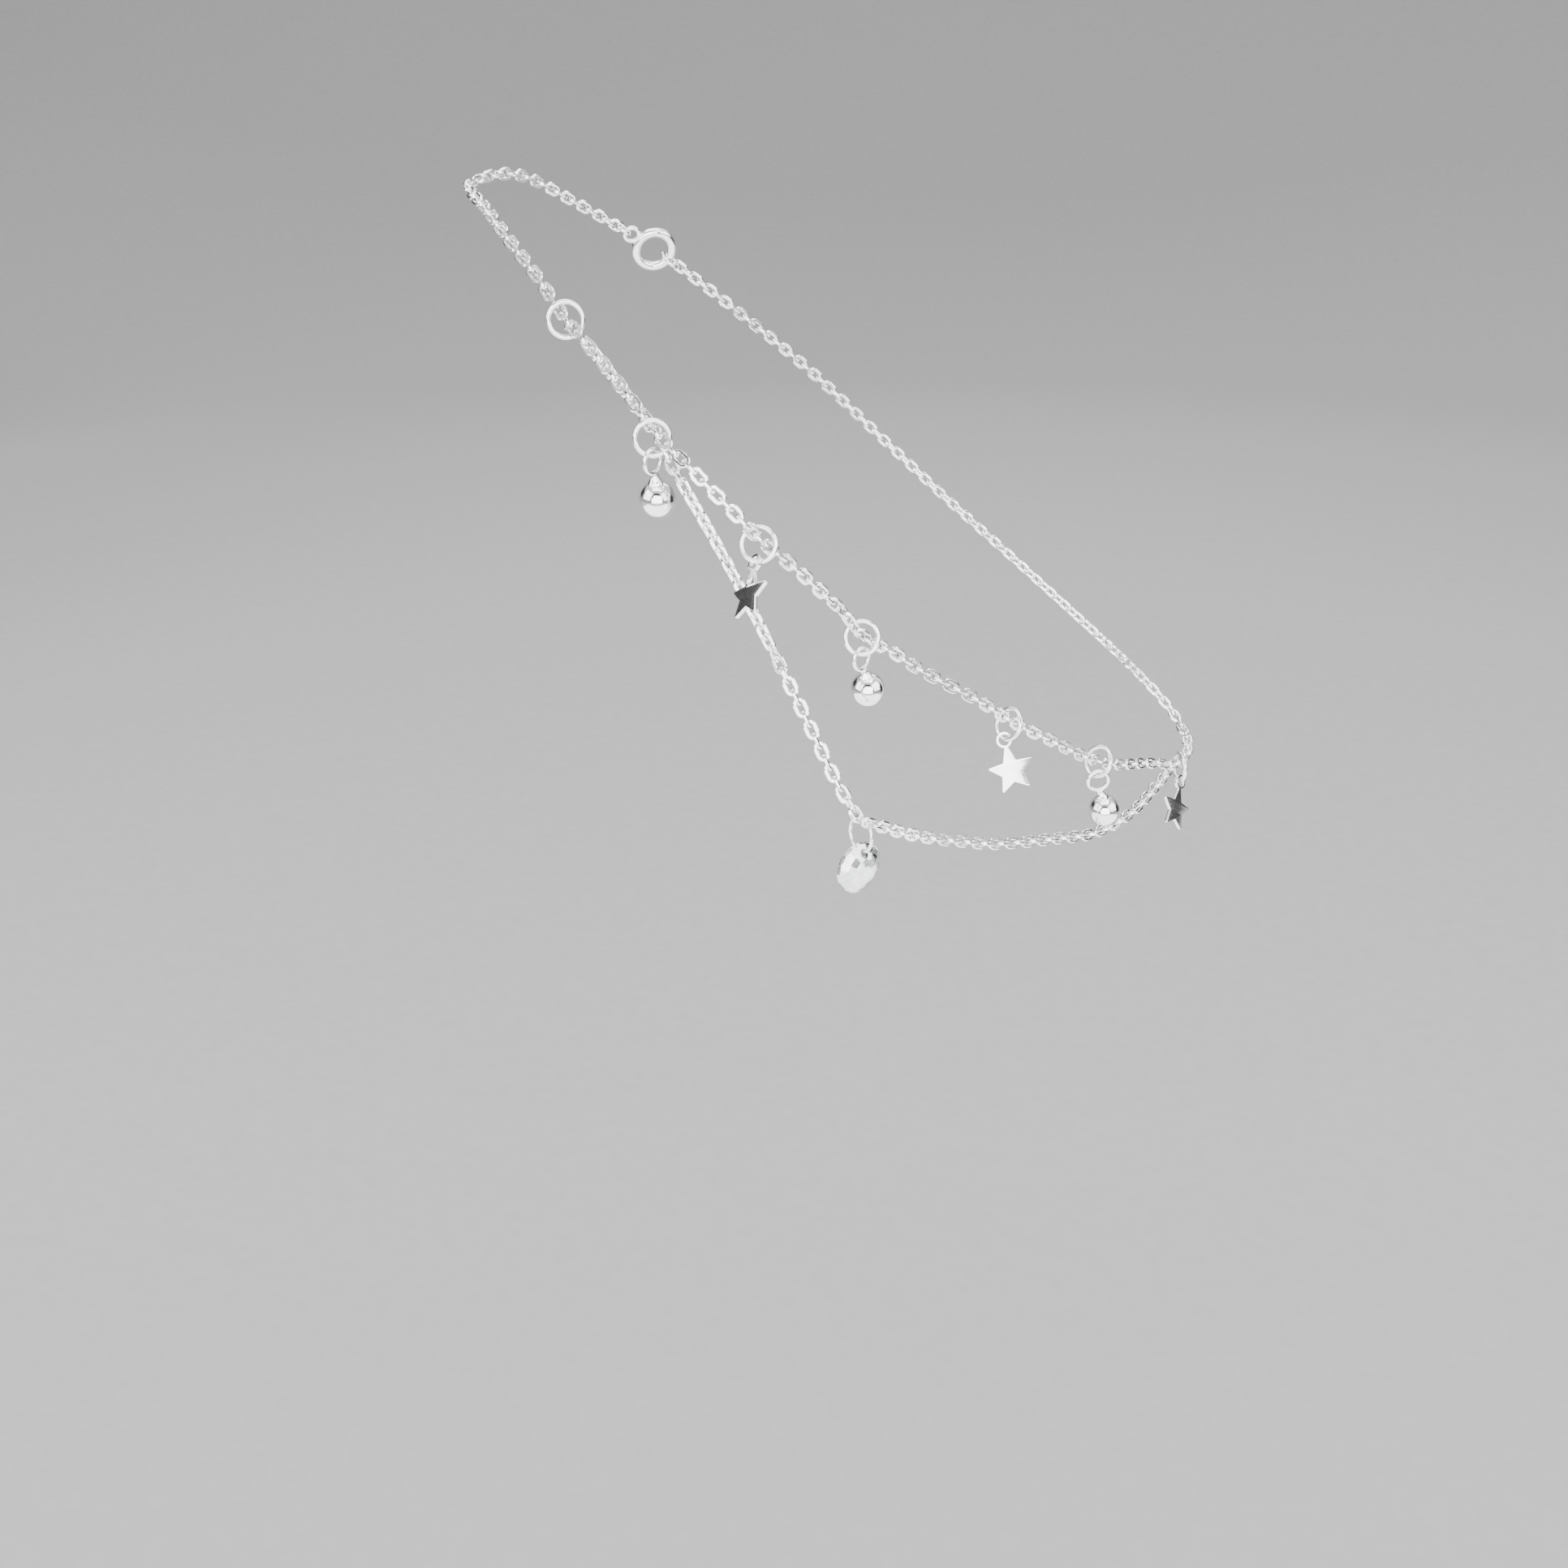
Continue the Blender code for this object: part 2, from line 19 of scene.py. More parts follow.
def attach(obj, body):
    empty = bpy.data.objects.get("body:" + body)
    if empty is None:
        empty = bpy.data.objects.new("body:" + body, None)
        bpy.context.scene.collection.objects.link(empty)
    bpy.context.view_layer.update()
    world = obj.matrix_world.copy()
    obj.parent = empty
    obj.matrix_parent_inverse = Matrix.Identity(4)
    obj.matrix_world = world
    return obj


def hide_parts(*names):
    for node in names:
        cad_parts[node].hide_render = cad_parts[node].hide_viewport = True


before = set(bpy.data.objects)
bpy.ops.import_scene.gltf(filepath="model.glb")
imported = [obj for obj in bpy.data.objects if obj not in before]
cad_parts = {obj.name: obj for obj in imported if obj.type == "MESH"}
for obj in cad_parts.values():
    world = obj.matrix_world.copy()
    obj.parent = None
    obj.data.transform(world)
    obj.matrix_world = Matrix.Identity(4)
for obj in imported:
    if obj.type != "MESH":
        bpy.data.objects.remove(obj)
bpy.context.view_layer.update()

log = logging.getLogger("anklet")

MM = 0.001
BODY = "root"
UP = Vector((0.0, 0.0, 1.0))
# The way the front of the anklet faces, a little upward
FRONT = Vector((0.03, -0.94, 0.34))
# The photograph's width and height, in pixels
IMAGE_SIZE = 1932
QUARTER_TURN = 90.0
HALF_TURN = 180.0
# Edges that turn more than this, in degrees, stay crisp
CRISP_LINK = 30.0
CRISP_BEAD = 35.0
CRISP_WIRE = 40.0
CRISP_PLATE = 40.0
CRISP_FLOOR = 60.0
# The share of a step by which a run may be too long before it takes one step more
STEP_SLACK = 0.05
# How late the lobes of a turned rim come out on the way down, and how narrow they are
LOBE_RISE = 2
LOBE_NARROWNESS = 3

# The long chain's loop, in millimetres, from the clasp round the back, the near side and
# the front, and home along the far side
MAIN_ROUTE = (
    (-24.0, 21.0, 24.0),
    (-32.0, 14.0, 30.0),
    (-37.0, 7.0, 33.5),
    (-40.5, 0.0, 33.0),
    (-36.5, -9.0, 31.0),
    (-31.0, -16.0, 26.5),
    (-25.0, -21.0, 20.5),
    (-18.5, -25.5, 14.0),
    (-12.0, -29.0, 8.0),
    (-5.5, -28.0, 1.5),
    (1.0, -24.5, -5.7),
    (7.5, -21.0, -12.2),
    (15.5, -18.5, -17.5),
    (23.0, -15.0, -23.0),
    (30.5, -10.5, -28.0),
    (36.5, -3.5, -31.0),
    (40.0, 0.0, -32.5),
    (42.5, 4.2, -33.4),
    (43.5, 9.2, -33.0),
    (41.5, 15.0, -30.8),
    (36.5, 20.0, -26.8),
    (29.5, 24.0, -21.5),
    (21.0, 27.0, -14.8),
    (12.0, 29.0, -7.5),
    (3.0, 29.5, 0.5),
    (-6.0, 28.8, 8.8),
    (-15.0, 26.0, 16.5),
)
# The lower strands between the rings that hold their ends, in millimetres
LOWER_LEFT_ROUTE = (
    (-14.5, -27.7, 7.5),
    (-10.2, -28.6, 0.0),
    (-4.0, -31.0, -11.5),
    (0.8, -32.8, -21.0),
)
LOWER_RIGHT_ROUTE = (
    (8.9, -29.4, -28.5),
    (14.1, -25.5, -31.0),
    (18.3, -22.4, -32.7),
    (25.0, -17.0, -34.6),
    (30.3, -12.2, -36.0),
    (35.2, -6.8, -35.6),
)


class Polish(Enum):
    """How a piece of silver was finished."""

    TUMBLED = "tumbled_silver"
    MIRROR = "mirror_silver"
    STAMPED = "stamped_silver"
    DRAWN = "drawn_silver"


class ShaderSheet:
    """A material's node sheet, with short calls for the nodes that the finishes share."""

    # The band that noise values mostly keep to, and the narrower one that colours read
    NOISE_BAND = (0.3, 0.7)
    COLOUR_BAND = (0.35, 0.65)

    def __init__(self, name: str) -> None:
        """Start an empty sheet round one Principled shader.

        Args:
            name: The material's name.
        """
        self.material = bpy.data.materials.new(name)
        self.material.use_nodes = True
        self.tree = self.material.node_tree
        self.shader = self.tree.nodes["Principled BSDF"]
        self.place = self.add("ShaderNodeTexCoord").outputs["Object"]

    def add(self, kind: str, **values: object) -> bpy.types.Node:
        """Add a node.

        Args:
            kind: The node's type.
            **values: Values for the node's own settings.

        Returns:
            The new node.
        """
        node = self.tree.nodes.new(kind)
        for key, value in values.items():
            setattr(node, key, value)
        return node

    def join(self, source: bpy.types.NodeSocket, target: bpy.types.NodeSocket) -> None:
        """Link an output to an input."""
        self.tree.links.new(source, target)

    def stretched(self, scale: tuple[float, float, float]) -> bpy.types.NodeSocket:
        """The piece's own coordinates, drawn out along the axes.

        Args:
            scale: How far they are drawn out along each axis.

        Returns:
            The coordinates.
        """
        mapping = self.add("ShaderNodeMapping")
        mapping.inputs["Scale"].default_value = scale
        self.join(self.place, mapping.inputs["Vector"])
        return mapping.outputs["Vector"]

    def noise(
        self, size: float, detail: float, place: bpy.types.NodeSocket | None = None
    ) -> bpy.types.NodeSocket:
        """Soft noise.

        Args:
            size: The noise's grain, in metres.
            detail: How many finer layers it has.
            place: The coordinates to read, if not the piece's own.

        Returns:
            The noise's value.
        """
        node = self.add("ShaderNodeTexNoise")
        node.inputs["Scale"].default_value = 1 / size
        node.inputs["Detail"].default_value = detail
        self.join(place or self.place, node.inputs["Vector"])
        return node.outputs["Fac"]

    def spread(
        self, source: bpy.types.NodeSocket, low: float, high: float
    ) -> bpy.types.NodeSocket:
        """Draw noise values out to run from low to high.

        Args:
            source: The noise's value.
            low: What its dark parts become.
            high: What its bright parts become.

        Returns:
            The new value.
        """
        node = self.add("ShaderNodeMapRange")
        node.inputs["From Min"].default_value = self.NOISE_BAND[0]
        node.inputs["From Max"].default_value = self.NOISE_BAND[1]
        node.inputs["To Min"].default_value = low
        node.inputs["To Max"].default_value = high
        self.join(source, node.inputs["Value"])
        return node.outputs["Result"]

    def tinted(
        self, source: bpy.types.NodeSocket, first: tuple[float, ...], second: tuple[float, ...]
    ) -> bpy.types.NodeSocket:
        """A colour that runs from the first to the second with the source.

        Args:
            source: The value to read.
            first: The colour where it is low.
            second: The colour where it is high.

        Returns:
            The colour.
        """
        node = self.add("ShaderNodeValToRGB")
        ramp = node.color_ramp
        ramp.elements[0].position = self.COLOUR_BAND[0]
        ramp.elements[1].position = self.COLOUR_BAND[1]
        ramp.elements[0].color = (*first, 1.0)
        ramp.elements[1].color = (*second, 1.0)
        self.join(source, node.inputs["Fac"])
        return node.outputs["Color"]

    def bump(self, source: bpy.types.NodeSocket, height: float) -> None:
        """Raise the surface by the source.

        Args:
            source: The rise at each place, from 0 to 1.
            height: How high a full rise stands, in metres.
        """
        node = self.add("ShaderNodeBump")
        node.inputs["Strength"].default_value = 1.0
        node.inputs["Distance"].default_value = height
        self.join(source, node.inputs["Height"])
        self.join(node.outputs["Normal"], self.shader.inputs["Normal"])


@dataclass(frozen=True)
class SilverFinish:
    """Sterling silver, bright, with the fine marks that its making leaves."""

    polish: Polish
    bright: tuple[float, float, float] = (0.95, 0.95, 0.955)
    dull: tuple[float, float, float] = (0.87, 0.868, 0.865)
    smooth: float = 0.06
    rubbed: float = 0.2
    cloud: float = 1.6 * MM
    cloud_detail: float = 3.0
    marks: float = 0.12 * MM
    marks_detail: float = 4.0
    mark_depth: float = 0.0015 * MM
    grain: tuple[float, float, float] = (1.0, 1.0, 1.0)

    def material(self) -> bpy.types.Material:
        """Make the material.

        Returns:
            Silver with clouded tarnish, uneven polish and fine marks.
        """
        sheet = ShaderSheet(self.polish.value)
        sheet.shader.inputs["Metallic"].default_value = 1.0
        tone = sheet.tinted(sheet.noise(self.cloud, self.cloud_detail), self.dull, self.bright)
        sheet.join(tone, sheet.shader.inputs["Base Color"])
        marks = sheet.noise(self.marks, self.marks_detail, sheet.stretched(self.grain))
        gloss = sheet.spread(marks, self.smooth, self.rubbed)
        sheet.join(gloss, sheet.shader.inputs["Roughness"])
        sheet.bump(marks, self.mark_depth)
        return sheet.material


@dataclass(frozen=True)
class CutCrystalFinish:
    """Clear cut crystal with polished facets, a silvery coating and a breath of haze."""

    clear: tuple[float, float, float] = (0.99, 0.995, 1.0)
    haze: tuple[float, float, float] = (0.93, 0.95, 0.97)
    bend: float = 2.1
    coating: float = 0.6
    smooth: float = 0.0
    rubbed: float = 0.03
    cloud: float = 1.1 * MM
    marks: float = 0.3 * MM
    detail: float = 2.0

    def material(self) -> bpy.types.Material:
        """Make the material.

        Returns:
            Glass with faint cloud and nearly even polish.
        """
        sheet = ShaderSheet("cut_crystal")
        sheet.shader.inputs["Transmission Weight"].default_value = 1.0
        sheet.shader.inputs["IOR"].default_value = self.bend
        sheet.shader.inputs["Metallic"].default_value = self.coating
        tone = sheet.tinted(sheet.noise(self.cloud, self.detail), self.haze, self.clear)
        sheet.join(tone, sheet.shader.inputs["Base Color"])
        marks = sheet.noise(self.marks, self.detail)
        gloss = sheet.spread(marks, self.smooth, self.rubbed)
        sheet.join(gloss, sheet.shader.inputs["Roughness"])
        return sheet.material


@dataclass(frozen=True)
class FloorFinish:
    """Pale matt studio paper."""

    pale: tuple[float, float, float] = (0.29, 0.29, 0.288)
    paler: tuple[float, float, float] = (0.305, 0.305, 0.302)
    roughness: float = 0.9
    fibre: float = 2.5 * MM
    detail: float = 3.0

    def material(self) -> bpy.types.Material:
        """Make the material.

        Returns:
            Matt paper with a soft, fine cloud.
        """
        sheet = ShaderSheet("studio_paper")
        sheet.shader.inputs["Roughness"].default_value = self.roughness
        tone = sheet.tinted(sheet.noise(self.fibre, self.detail), self.pale, self.paler)
        sheet.join(tone, sheet.shader.inputs["Base Color"])
        return sheet.material


@dataclass(frozen=True)
class CardFinish:
    """Dark card that polished metal mirrors."""

    shade: tuple[float, float, float] = (0.012, 0.012, 0.013)
    lift: tuple[float, float, float] = (0.02, 0.02, 0.021)
    roughness: float = 1.0
    cloud: float = 120 * MM
    detail: float = 1.0

    def material(self) -> bpy.types.Material:
        """Make the material.

        Returns:
            Nearly black matt card.
        """
        sheet = ShaderSheet("dark_card")
        sheet.shader.inputs["Roughness"].default_value = self.roughness
        tone = sheet.tinted(sheet.noise(self.cloud, self.detail), self.shade, self.lift)
        sheet.join(tone, sheet.shader.inputs["Base Color"])
        return sheet.material


class Route:
    """A smooth curve through a few chosen points, read by its length."""

    STEPS = 24

    def __init__(self, points: list[Vector], closed: bool = False) -> None:
        """Lay the curve out in short steps.

        Args:
            points: The chosen points, in metres.
            closed: Whether the curve comes home to its first point.
        """
        self.closed = closed
        self.points = self.smooth(points, closed)
        self.reach = [0.0]
        for first, second in zip(self.points, self.points[1:]):
            self.reach.append(self.reach[-1] + (second - first).length)
        self.length = self.reach[-1]

    @classmethod
    def smooth(cls, points: list[Vector], closed: bool) -> list[Vector]:
        """Points of a Catmull-Rom curve through the chosen points.

        Args:
            points: The chosen points.
            closed: Whether the last point joins the first.

        Returns:
            The curve's points, the last one at its end.
        """
        count = len(points)
        made = []
        for i in range(count if closed else count - 1):
            here, after = points[i], points[(i + 1) % count]
            before = points[i - 1] if closed or i else 2 * here - after
            beyond = points[(i + 2) % count] if closed or i + 2 < count else 2 * after - here
            for step in range(cls.STEPS):
                t = step / cls.STEPS
                made.append(
                    0.5
                    * (
                        2 * here
                        + (after - before) * t
                        + (2 * before - 5 * here + 4 * after - beyond) * t**2
                        + (3 * here - before - 3 * after + beyond) * t**3
                    )
                )
        made.append(points[0].copy() if closed else points[-1].copy())
        return made

    def at(self, distance: float) -> Vector:
        """The point this far along. An open route runs on straight past its ends.

        Args:
            distance: How far along it lies, in metres.

        Returns:
            The point.
        """
        if self.closed:
            distance %= self.length
        low = min(max(bisect.bisect_right(self.reach, distance) - 1, 0), len(self.reach) - 2)
        share = (distance - self.reach[low]) / (self.reach[low + 1] - self.reach[low])
        return self.points[low].lerp(self.points[low + 1], share)

    def heading(self, distance: float, step: float = 0.3 * MM) -> Vector:
        """The direction of travel this far along."""
        return (self.at(distance + step) - self.at(distance - step)).normalized()

    def nearest(self, place: Vector) -> float:
        """How far along the route lies nearest to a place."""
        near = min(range(len(self.points)), key=lambda i: (self.points[i] - place).length)
        return self.reach[near]


def chosen(points: tuple[tuple[float, float, float], ...]) -> list[Vector]:
    """Route points in millimetres as vectors in metres."""
    return [Vector(point) * MM for point in points]


def across(direction: Vector, normal: Vector) -> Vector:
    """The direction with its part along the normal taken away."""
    return (direction - direction.dot(normal) * normal).normalized()


def turned(direction: Vector, normal: Vector, degrees: float) -> Vector:
    """The direction turned about the normal."""
    return Matrix.Rotation(math.radians(degrees), 3, normal) @ direction


def turn_between(first: Vector, second: Vector, axis: Vector) -> float:
    """How far the second direction is turned from the first about the axis, in degrees."""
    return math.degrees(math.atan2(axis.dot(first.cross(second)), first.dot(across(second, axis))))


def unwound(turn: float, near: float, period: float) -> float:
    """The turn, moved by whole periods to lie nearest to another."""
    return near + math.remainder(turn - near, period)


def placing(origin: Vector, normal: Vector, up: Vector) -> Matrix:
    """A placing whose Z is the normal and whose Y is as near up as it can be.

    Args:
        origin: Where its middle lies.
        normal: Its Z, one unit long.
        up: The direction that its Y leans towards.

    Returns:
        The placing.
    """
    y_axis = across(up, normal)
    matrix = Matrix((y_axis.cross(normal), y_axis, normal)).transposed().to_4x4()
    matrix.translation = origin
    return matrix


def stepped(start: float, end: float, step: float) -> list[float]:
    """Even distances from start to end, at most about a step apart."""
    count = max(1, math.ceil((end - start) / step - STEP_SLACK))
    return [start + (end - start) * i / count for i in range(count + 1)]


def keyed(keys: tuple[tuple[float, float], ...], share: float) -> float:
    """A value read between the keys on either side of the share."""
    return float(np.interp(share, [key[0] for key in keys], [key[1] for key in keys]))


@dataclass(frozen=True)
class Seat:
    """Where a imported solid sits: its middle, its own axes and how far it reaches along each."""

    # Corners that agree to this many decimals of a metre are one
    DECIMALS = 7

    centre: Vector
    longest: Vector
    middle: Vector
    thinnest: Vector
    reach: tuple[float, float, float]

    @classmethod
    def of(cls, node: str) -> "Seat":
        """Read a solid's seat from its corners.

        Args:
            node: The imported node's name.

        Returns:
            Its seat, with the long axis pointing up and the thin one towards -Y.
        """
        corners = np.array([v.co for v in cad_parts[node].data.vertices], float)
        corners = np.unique(np.round(corners, cls.DECIMALS), axis=0)
        mean = corners.mean(0)
        axes = np.linalg.svd(corners - mean, full_matrices=False)[2]
        axes[0] *= math.copysign(1, axes[0][2])
        axes[2] *= math.copysign(1, -axes[2][1])
        along = (corners - mean) @ axes.T
        low, high = along.min(0), along.max(0)
        centre = mean + ((low + high) / 2) @ axes
        return cls(Vector(centre), *(Vector(axis) for axis in axes), tuple((high - low) / 2))


@dataclass
class RawMesh:
    """Corners and faces gathered from several shapes, for one piece."""

    corners: list[np.ndarray] = field(default_factory=list)
    faces: list[tuple[int, ...]] = field(default_factory=list)
    count: int = 0

    def add(
        self, corners: np.ndarray, faces: list[tuple[int, ...]], place: Matrix | None = None
    ) -> None:
        """Take in one shape.

        Args:
            corners: Its corners, one to a row.
            faces: Its faces, as corner numbers.
            place: Where it goes, if not where it is.
        """
        if place is not None:
            matrix = np.array(place)
            corners = corners @ matrix[:3, :3].T + matrix[:3, 3]
        self.corners.append(corners)
        self.faces += [tuple(i + self.count for i in face) for face in faces]
        self.count += len(corners)

    def piece(self, name: str, sharp: float) -> bpy.types.Object:
        """Make the object.

        Args:
            name: The piece's name.
            sharp: Edges that turn more than this, in degrees, stay crisp.

        Returns:
            The object, linked to the scene.
        """
        mesh = bpy.data.meshes.new(name)
        mesh.from_pydata(np.concatenate(self.corners).tolist(), [], self.faces)
        mesh.validate()
        mesh.shade_smooth()
        mesh.set_sharp_from_angle(angle=math.radians(sharp))
        obj = bpy.data.objects.new(name, mesh)
        bpy.context.scene.collection.objects.link(obj)
        return obj


class Workshop:
    """Keeps one material of each finish, and hands finished pieces to the frame."""

    SILVER_SLOT = "silver"
    CRYSTAL_SLOT = "crystal"

    def __init__(self) -> None:
        """Make the finishes."""
        self.silver = {
            finish.polish: finish.material()
            for finish in (
                SilverFinish(Polish.TUMBLED),
                SilverFinish(Polish.MIRROR, smooth=0.05, rubbed=0.13, mark_depth=0.0005 * MM),
                SilverFinish(Polish.STAMPED, smooth=0.1, rubbed=0.22, grain=(1.0, 0.15, 1.0)),
                SilverFinish(Polish.DRAWN, smooth=0.05, rubbed=0.16),
            )
        }
        self.crystal = CutCrystalFinish().material()

    def finish(self, obj: bpy.types.Object, polish: Polish | None, *nodes: str) -> None:
        """Dress a piece and set it on the frame in place of its solids.

        Args:
            obj: The piece.
            polish: Its silver finish, or None for crystal.
            *nodes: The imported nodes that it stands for.
        """
        obj.data.materials.clear()
        obj.data.materials.append(self.silver[polish] if polish else self.crystal)
        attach(obj, BODY)
        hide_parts(*nodes)
        triangles = sum(len(face.vertices) - 2 for face in obj.data.polygons)
        log.info("%s: %d triangles, in place of %s", obj.name, triangles, ", ".join(nodes))


def wire_section(wire: float, sides: int, flatness: float = 1.0) -> np.ndarray:
    """A wire's section, with flats outward and on top.

    Args:
        wire: Its thickness across the flats.
        sides: How many flats it has.
        flatness: Its height as a share of its width.

    Returns:
        Outward and upward offsets, one pair to a row.
    """
    angles = (np.arange(sides) + 0.5) * 2 * np.pi / sides
    radius = wire / 2 / math.cos(math.pi / sides)
    return np.stack([radius * np.cos(angles), radius * flatness * np.sin(angles)], 1)


def swept_loop(
    middle: np.ndarray, outward: np.ndarray, section: np.ndarray, closed: bool = True
) -> tuple[np.ndarray, list[tuple[int, ...]]]:
    """Carry a section along a flat line in XY.

    Args:
        middle: The line's points.
        outward: The outward direction at each.
        section: Outward and upward offsets.
        closed: Whether the line comes home, or ends in two caps.

    Returns:
        Corners and faces.
    """
    flat = middle[:, None, :] + outward[:, None, :] * section[None, :, :1]
    height = np.broadcast_to(section[None, :, 1:], (*flat.shape[:2], 1))
    corners = np.concatenate([flat, height], 2).reshape(-1, 3)
    rows, sides = len(middle), len(section)
    faces = []
    for i in range(rows if closed else rows - 1):
        near, far = i * sides, (i + 1) % rows * sides
        for j in range(sides):
            k = (j + 1) % sides
            faces.append((near + j, far + j, far + k, near + k))
    if not closed:
        faces.append(tuple(range(sides)))
        faces.append(tuple(range(rows * sides - 1, (rows - 1) * sides - 1, -1)))
    return corners, faces


def turned_shape(
    profile: list[tuple[float, float]], steps: int, lobes: int = 0, flare: float = 0.0
) -> tuple[np.ndarray, list[tuple[int, ...]]]:
    """Turn a profile about Y, from its top down.

    Args:
        profile: Radius and height pairs. Its ends are closed with flat caps.
        steps: How many steps go round.
        lobes: How many lobes the lower rim is drawn out into.
        flare: How far the lobes stand out at the last point, as a share of the radius.

    Returns:
        Corners and faces.
    """
    angles = np.arange(steps) * 2 * np.pi / steps
    corners = []
    for i, (radius, height) in enumerate(profile):
        draw = flare * (i / (len(profile) - 1)) ** LOBE_RISE
        lobe = np.abs(np.cos(angles * lobes / 2)) ** LOBE_NARROWNESS
        spread = radius * (1 + draw * lobe)
        corners.append(
            np.stack([spread * np.sin(angles), np.full(steps, height), spread * np.cos(angles)], 1)
        )
    faces = []
    for i in range(len(profile) - 1):
        for j in range(steps):
            k = (j + 1) % steps
            faces.append((i * steps + j, (i + 1) * steps + j, (i + 1) * steps + k, i * steps + k))
    last = (len(profile) - 1) * steps
    faces.append(tuple(range(steps)))
    faces.append(tuple(range(last + steps - 1, last - 1, -1)))
    return np.concatenate(corners), faces


@dataclass(frozen=True)
class WireRing:
    """A round wire ring, bent shut with a fine seam."""

    outer: float = 3.9 * MM
    wire: float = 0.5 * MM
    seam: float = 0.05 * MM
    steps: int = 72
    sides: int = 16

    @property
    def radius(self) -> float:
        """From the ring's middle to the middle of its wire."""
        return (self.outer - self.wire) / 2

    def shape(self, seam_at: float = 0.0) -> tuple[np.ndarray, list[tuple[int, ...]]]:
        """The ring round Z.

        Args:
            seam_at: Where its seam is, in degrees from X.

        Returns:
            Corners and faces.
        """
        half_seam = self.seam / 2 / self.radius
        start = math.radians(seam_at)
        angles = start + np.linspace(half_seam, 2 * math.pi - half_seam, self.steps)
        outward = np.stack([np.cos(angles), np.sin(angles)], 1)
        section = wire_section(self.wire, self.sides)
        return swept_loop(outward * self.radius, outward, section, closed=self.seam == 0)


@dataclass(frozen=True)
class PlacedRing:
    """A ring where it hangs, as the drops and strands hook it."""

    seat: Seat
    ring: WireRing

    def outward(self, degrees: float) -> Vector:
        """The direction from the middle to the wire, this far round from its lowest point."""
        return turned(across(-UP, self.seat.thinnest), self.seat.thinnest, degrees)

    def wire_point(self, degrees: float) -> Vector:
        """A point on the wire's middle line, this far round from its lowest point."""
        return self.seat.centre + self.outward(degrees) * self.ring.radius

    def along_wire(self, degrees: float) -> Vector:
        """The wire's direction there."""
        return self.seat.thinnest.cross(self.outward(degrees))

    def build(self, shop: Workshop, node: str, seam_at: float) -> None:
        """Make the ring in place of its solid.

        Args:
            shop: Where it is finished.
            node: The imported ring.
            seam_at: Where its seam is, in degrees from its right-hand side.
        """
        raw = RawMesh()
        place = placing(self.seat.centre, self.seat.thinnest, UP)
        raw.add(*self.ring.shape(seam_at), place)
        shop.finish(raw.piece(f"{node}_wire", CRISP_WIRE), Polish.DRAWN, node)


@dataclass(frozen=True)
class OvalLink:
    """One oval link of filed wire, lying along X."""

    pitch: float = 1.25 * MM
    width: float = 1.4 * MM
    wire: float = 0.4 * MM
    play: float = 0.06 * MM
    filed: float = 0.9
    bend_steps: int = 8
    wire_sides: int = 8

    @property
    def reach(self) -> float:
        """From the link's middle to the middle of the wire at its end."""
        return (self.pitch + self.wire + self.play) / 2

    def shape(self) -> tuple[np.ndarray, list[tuple[int, ...]]]:
        """Bend the link.

        Returns:
            Corners and faces, its flat side along Z.
        """
        radius = (self.width - self.wire) / 2
        straight = self.reach - radius
        turn = np.linspace(-np.pi / 2, np.pi / 2, self.bend_steps + 1)
        angles = np.concatenate([turn, turn + np.pi])
        outward = np.stack([np.cos(angles), np.sin(angles)], 1)
        shift = np.where(np.arange(len(angles)) <= self.bend_steps, straight, -straight)
        middle = outward * radius
        middle[:, 0] += shift
        return swept_loop(middle, outward, wire_section(self.wire, self.wire_sides, self.filed))


@dataclass(frozen=True)
class LinkPlace:
    """Where a link lies: its middle, the way the chain runs and the way its flat side faces."""

    middle: Vector
    heading: Vector
    face: Vector


@dataclass(frozen=True)
class Hook:
    """The wire that a strand's end link hooks: its middle, its direction and its thickness."""

    point: Vector
    along: Vector
    wire: float


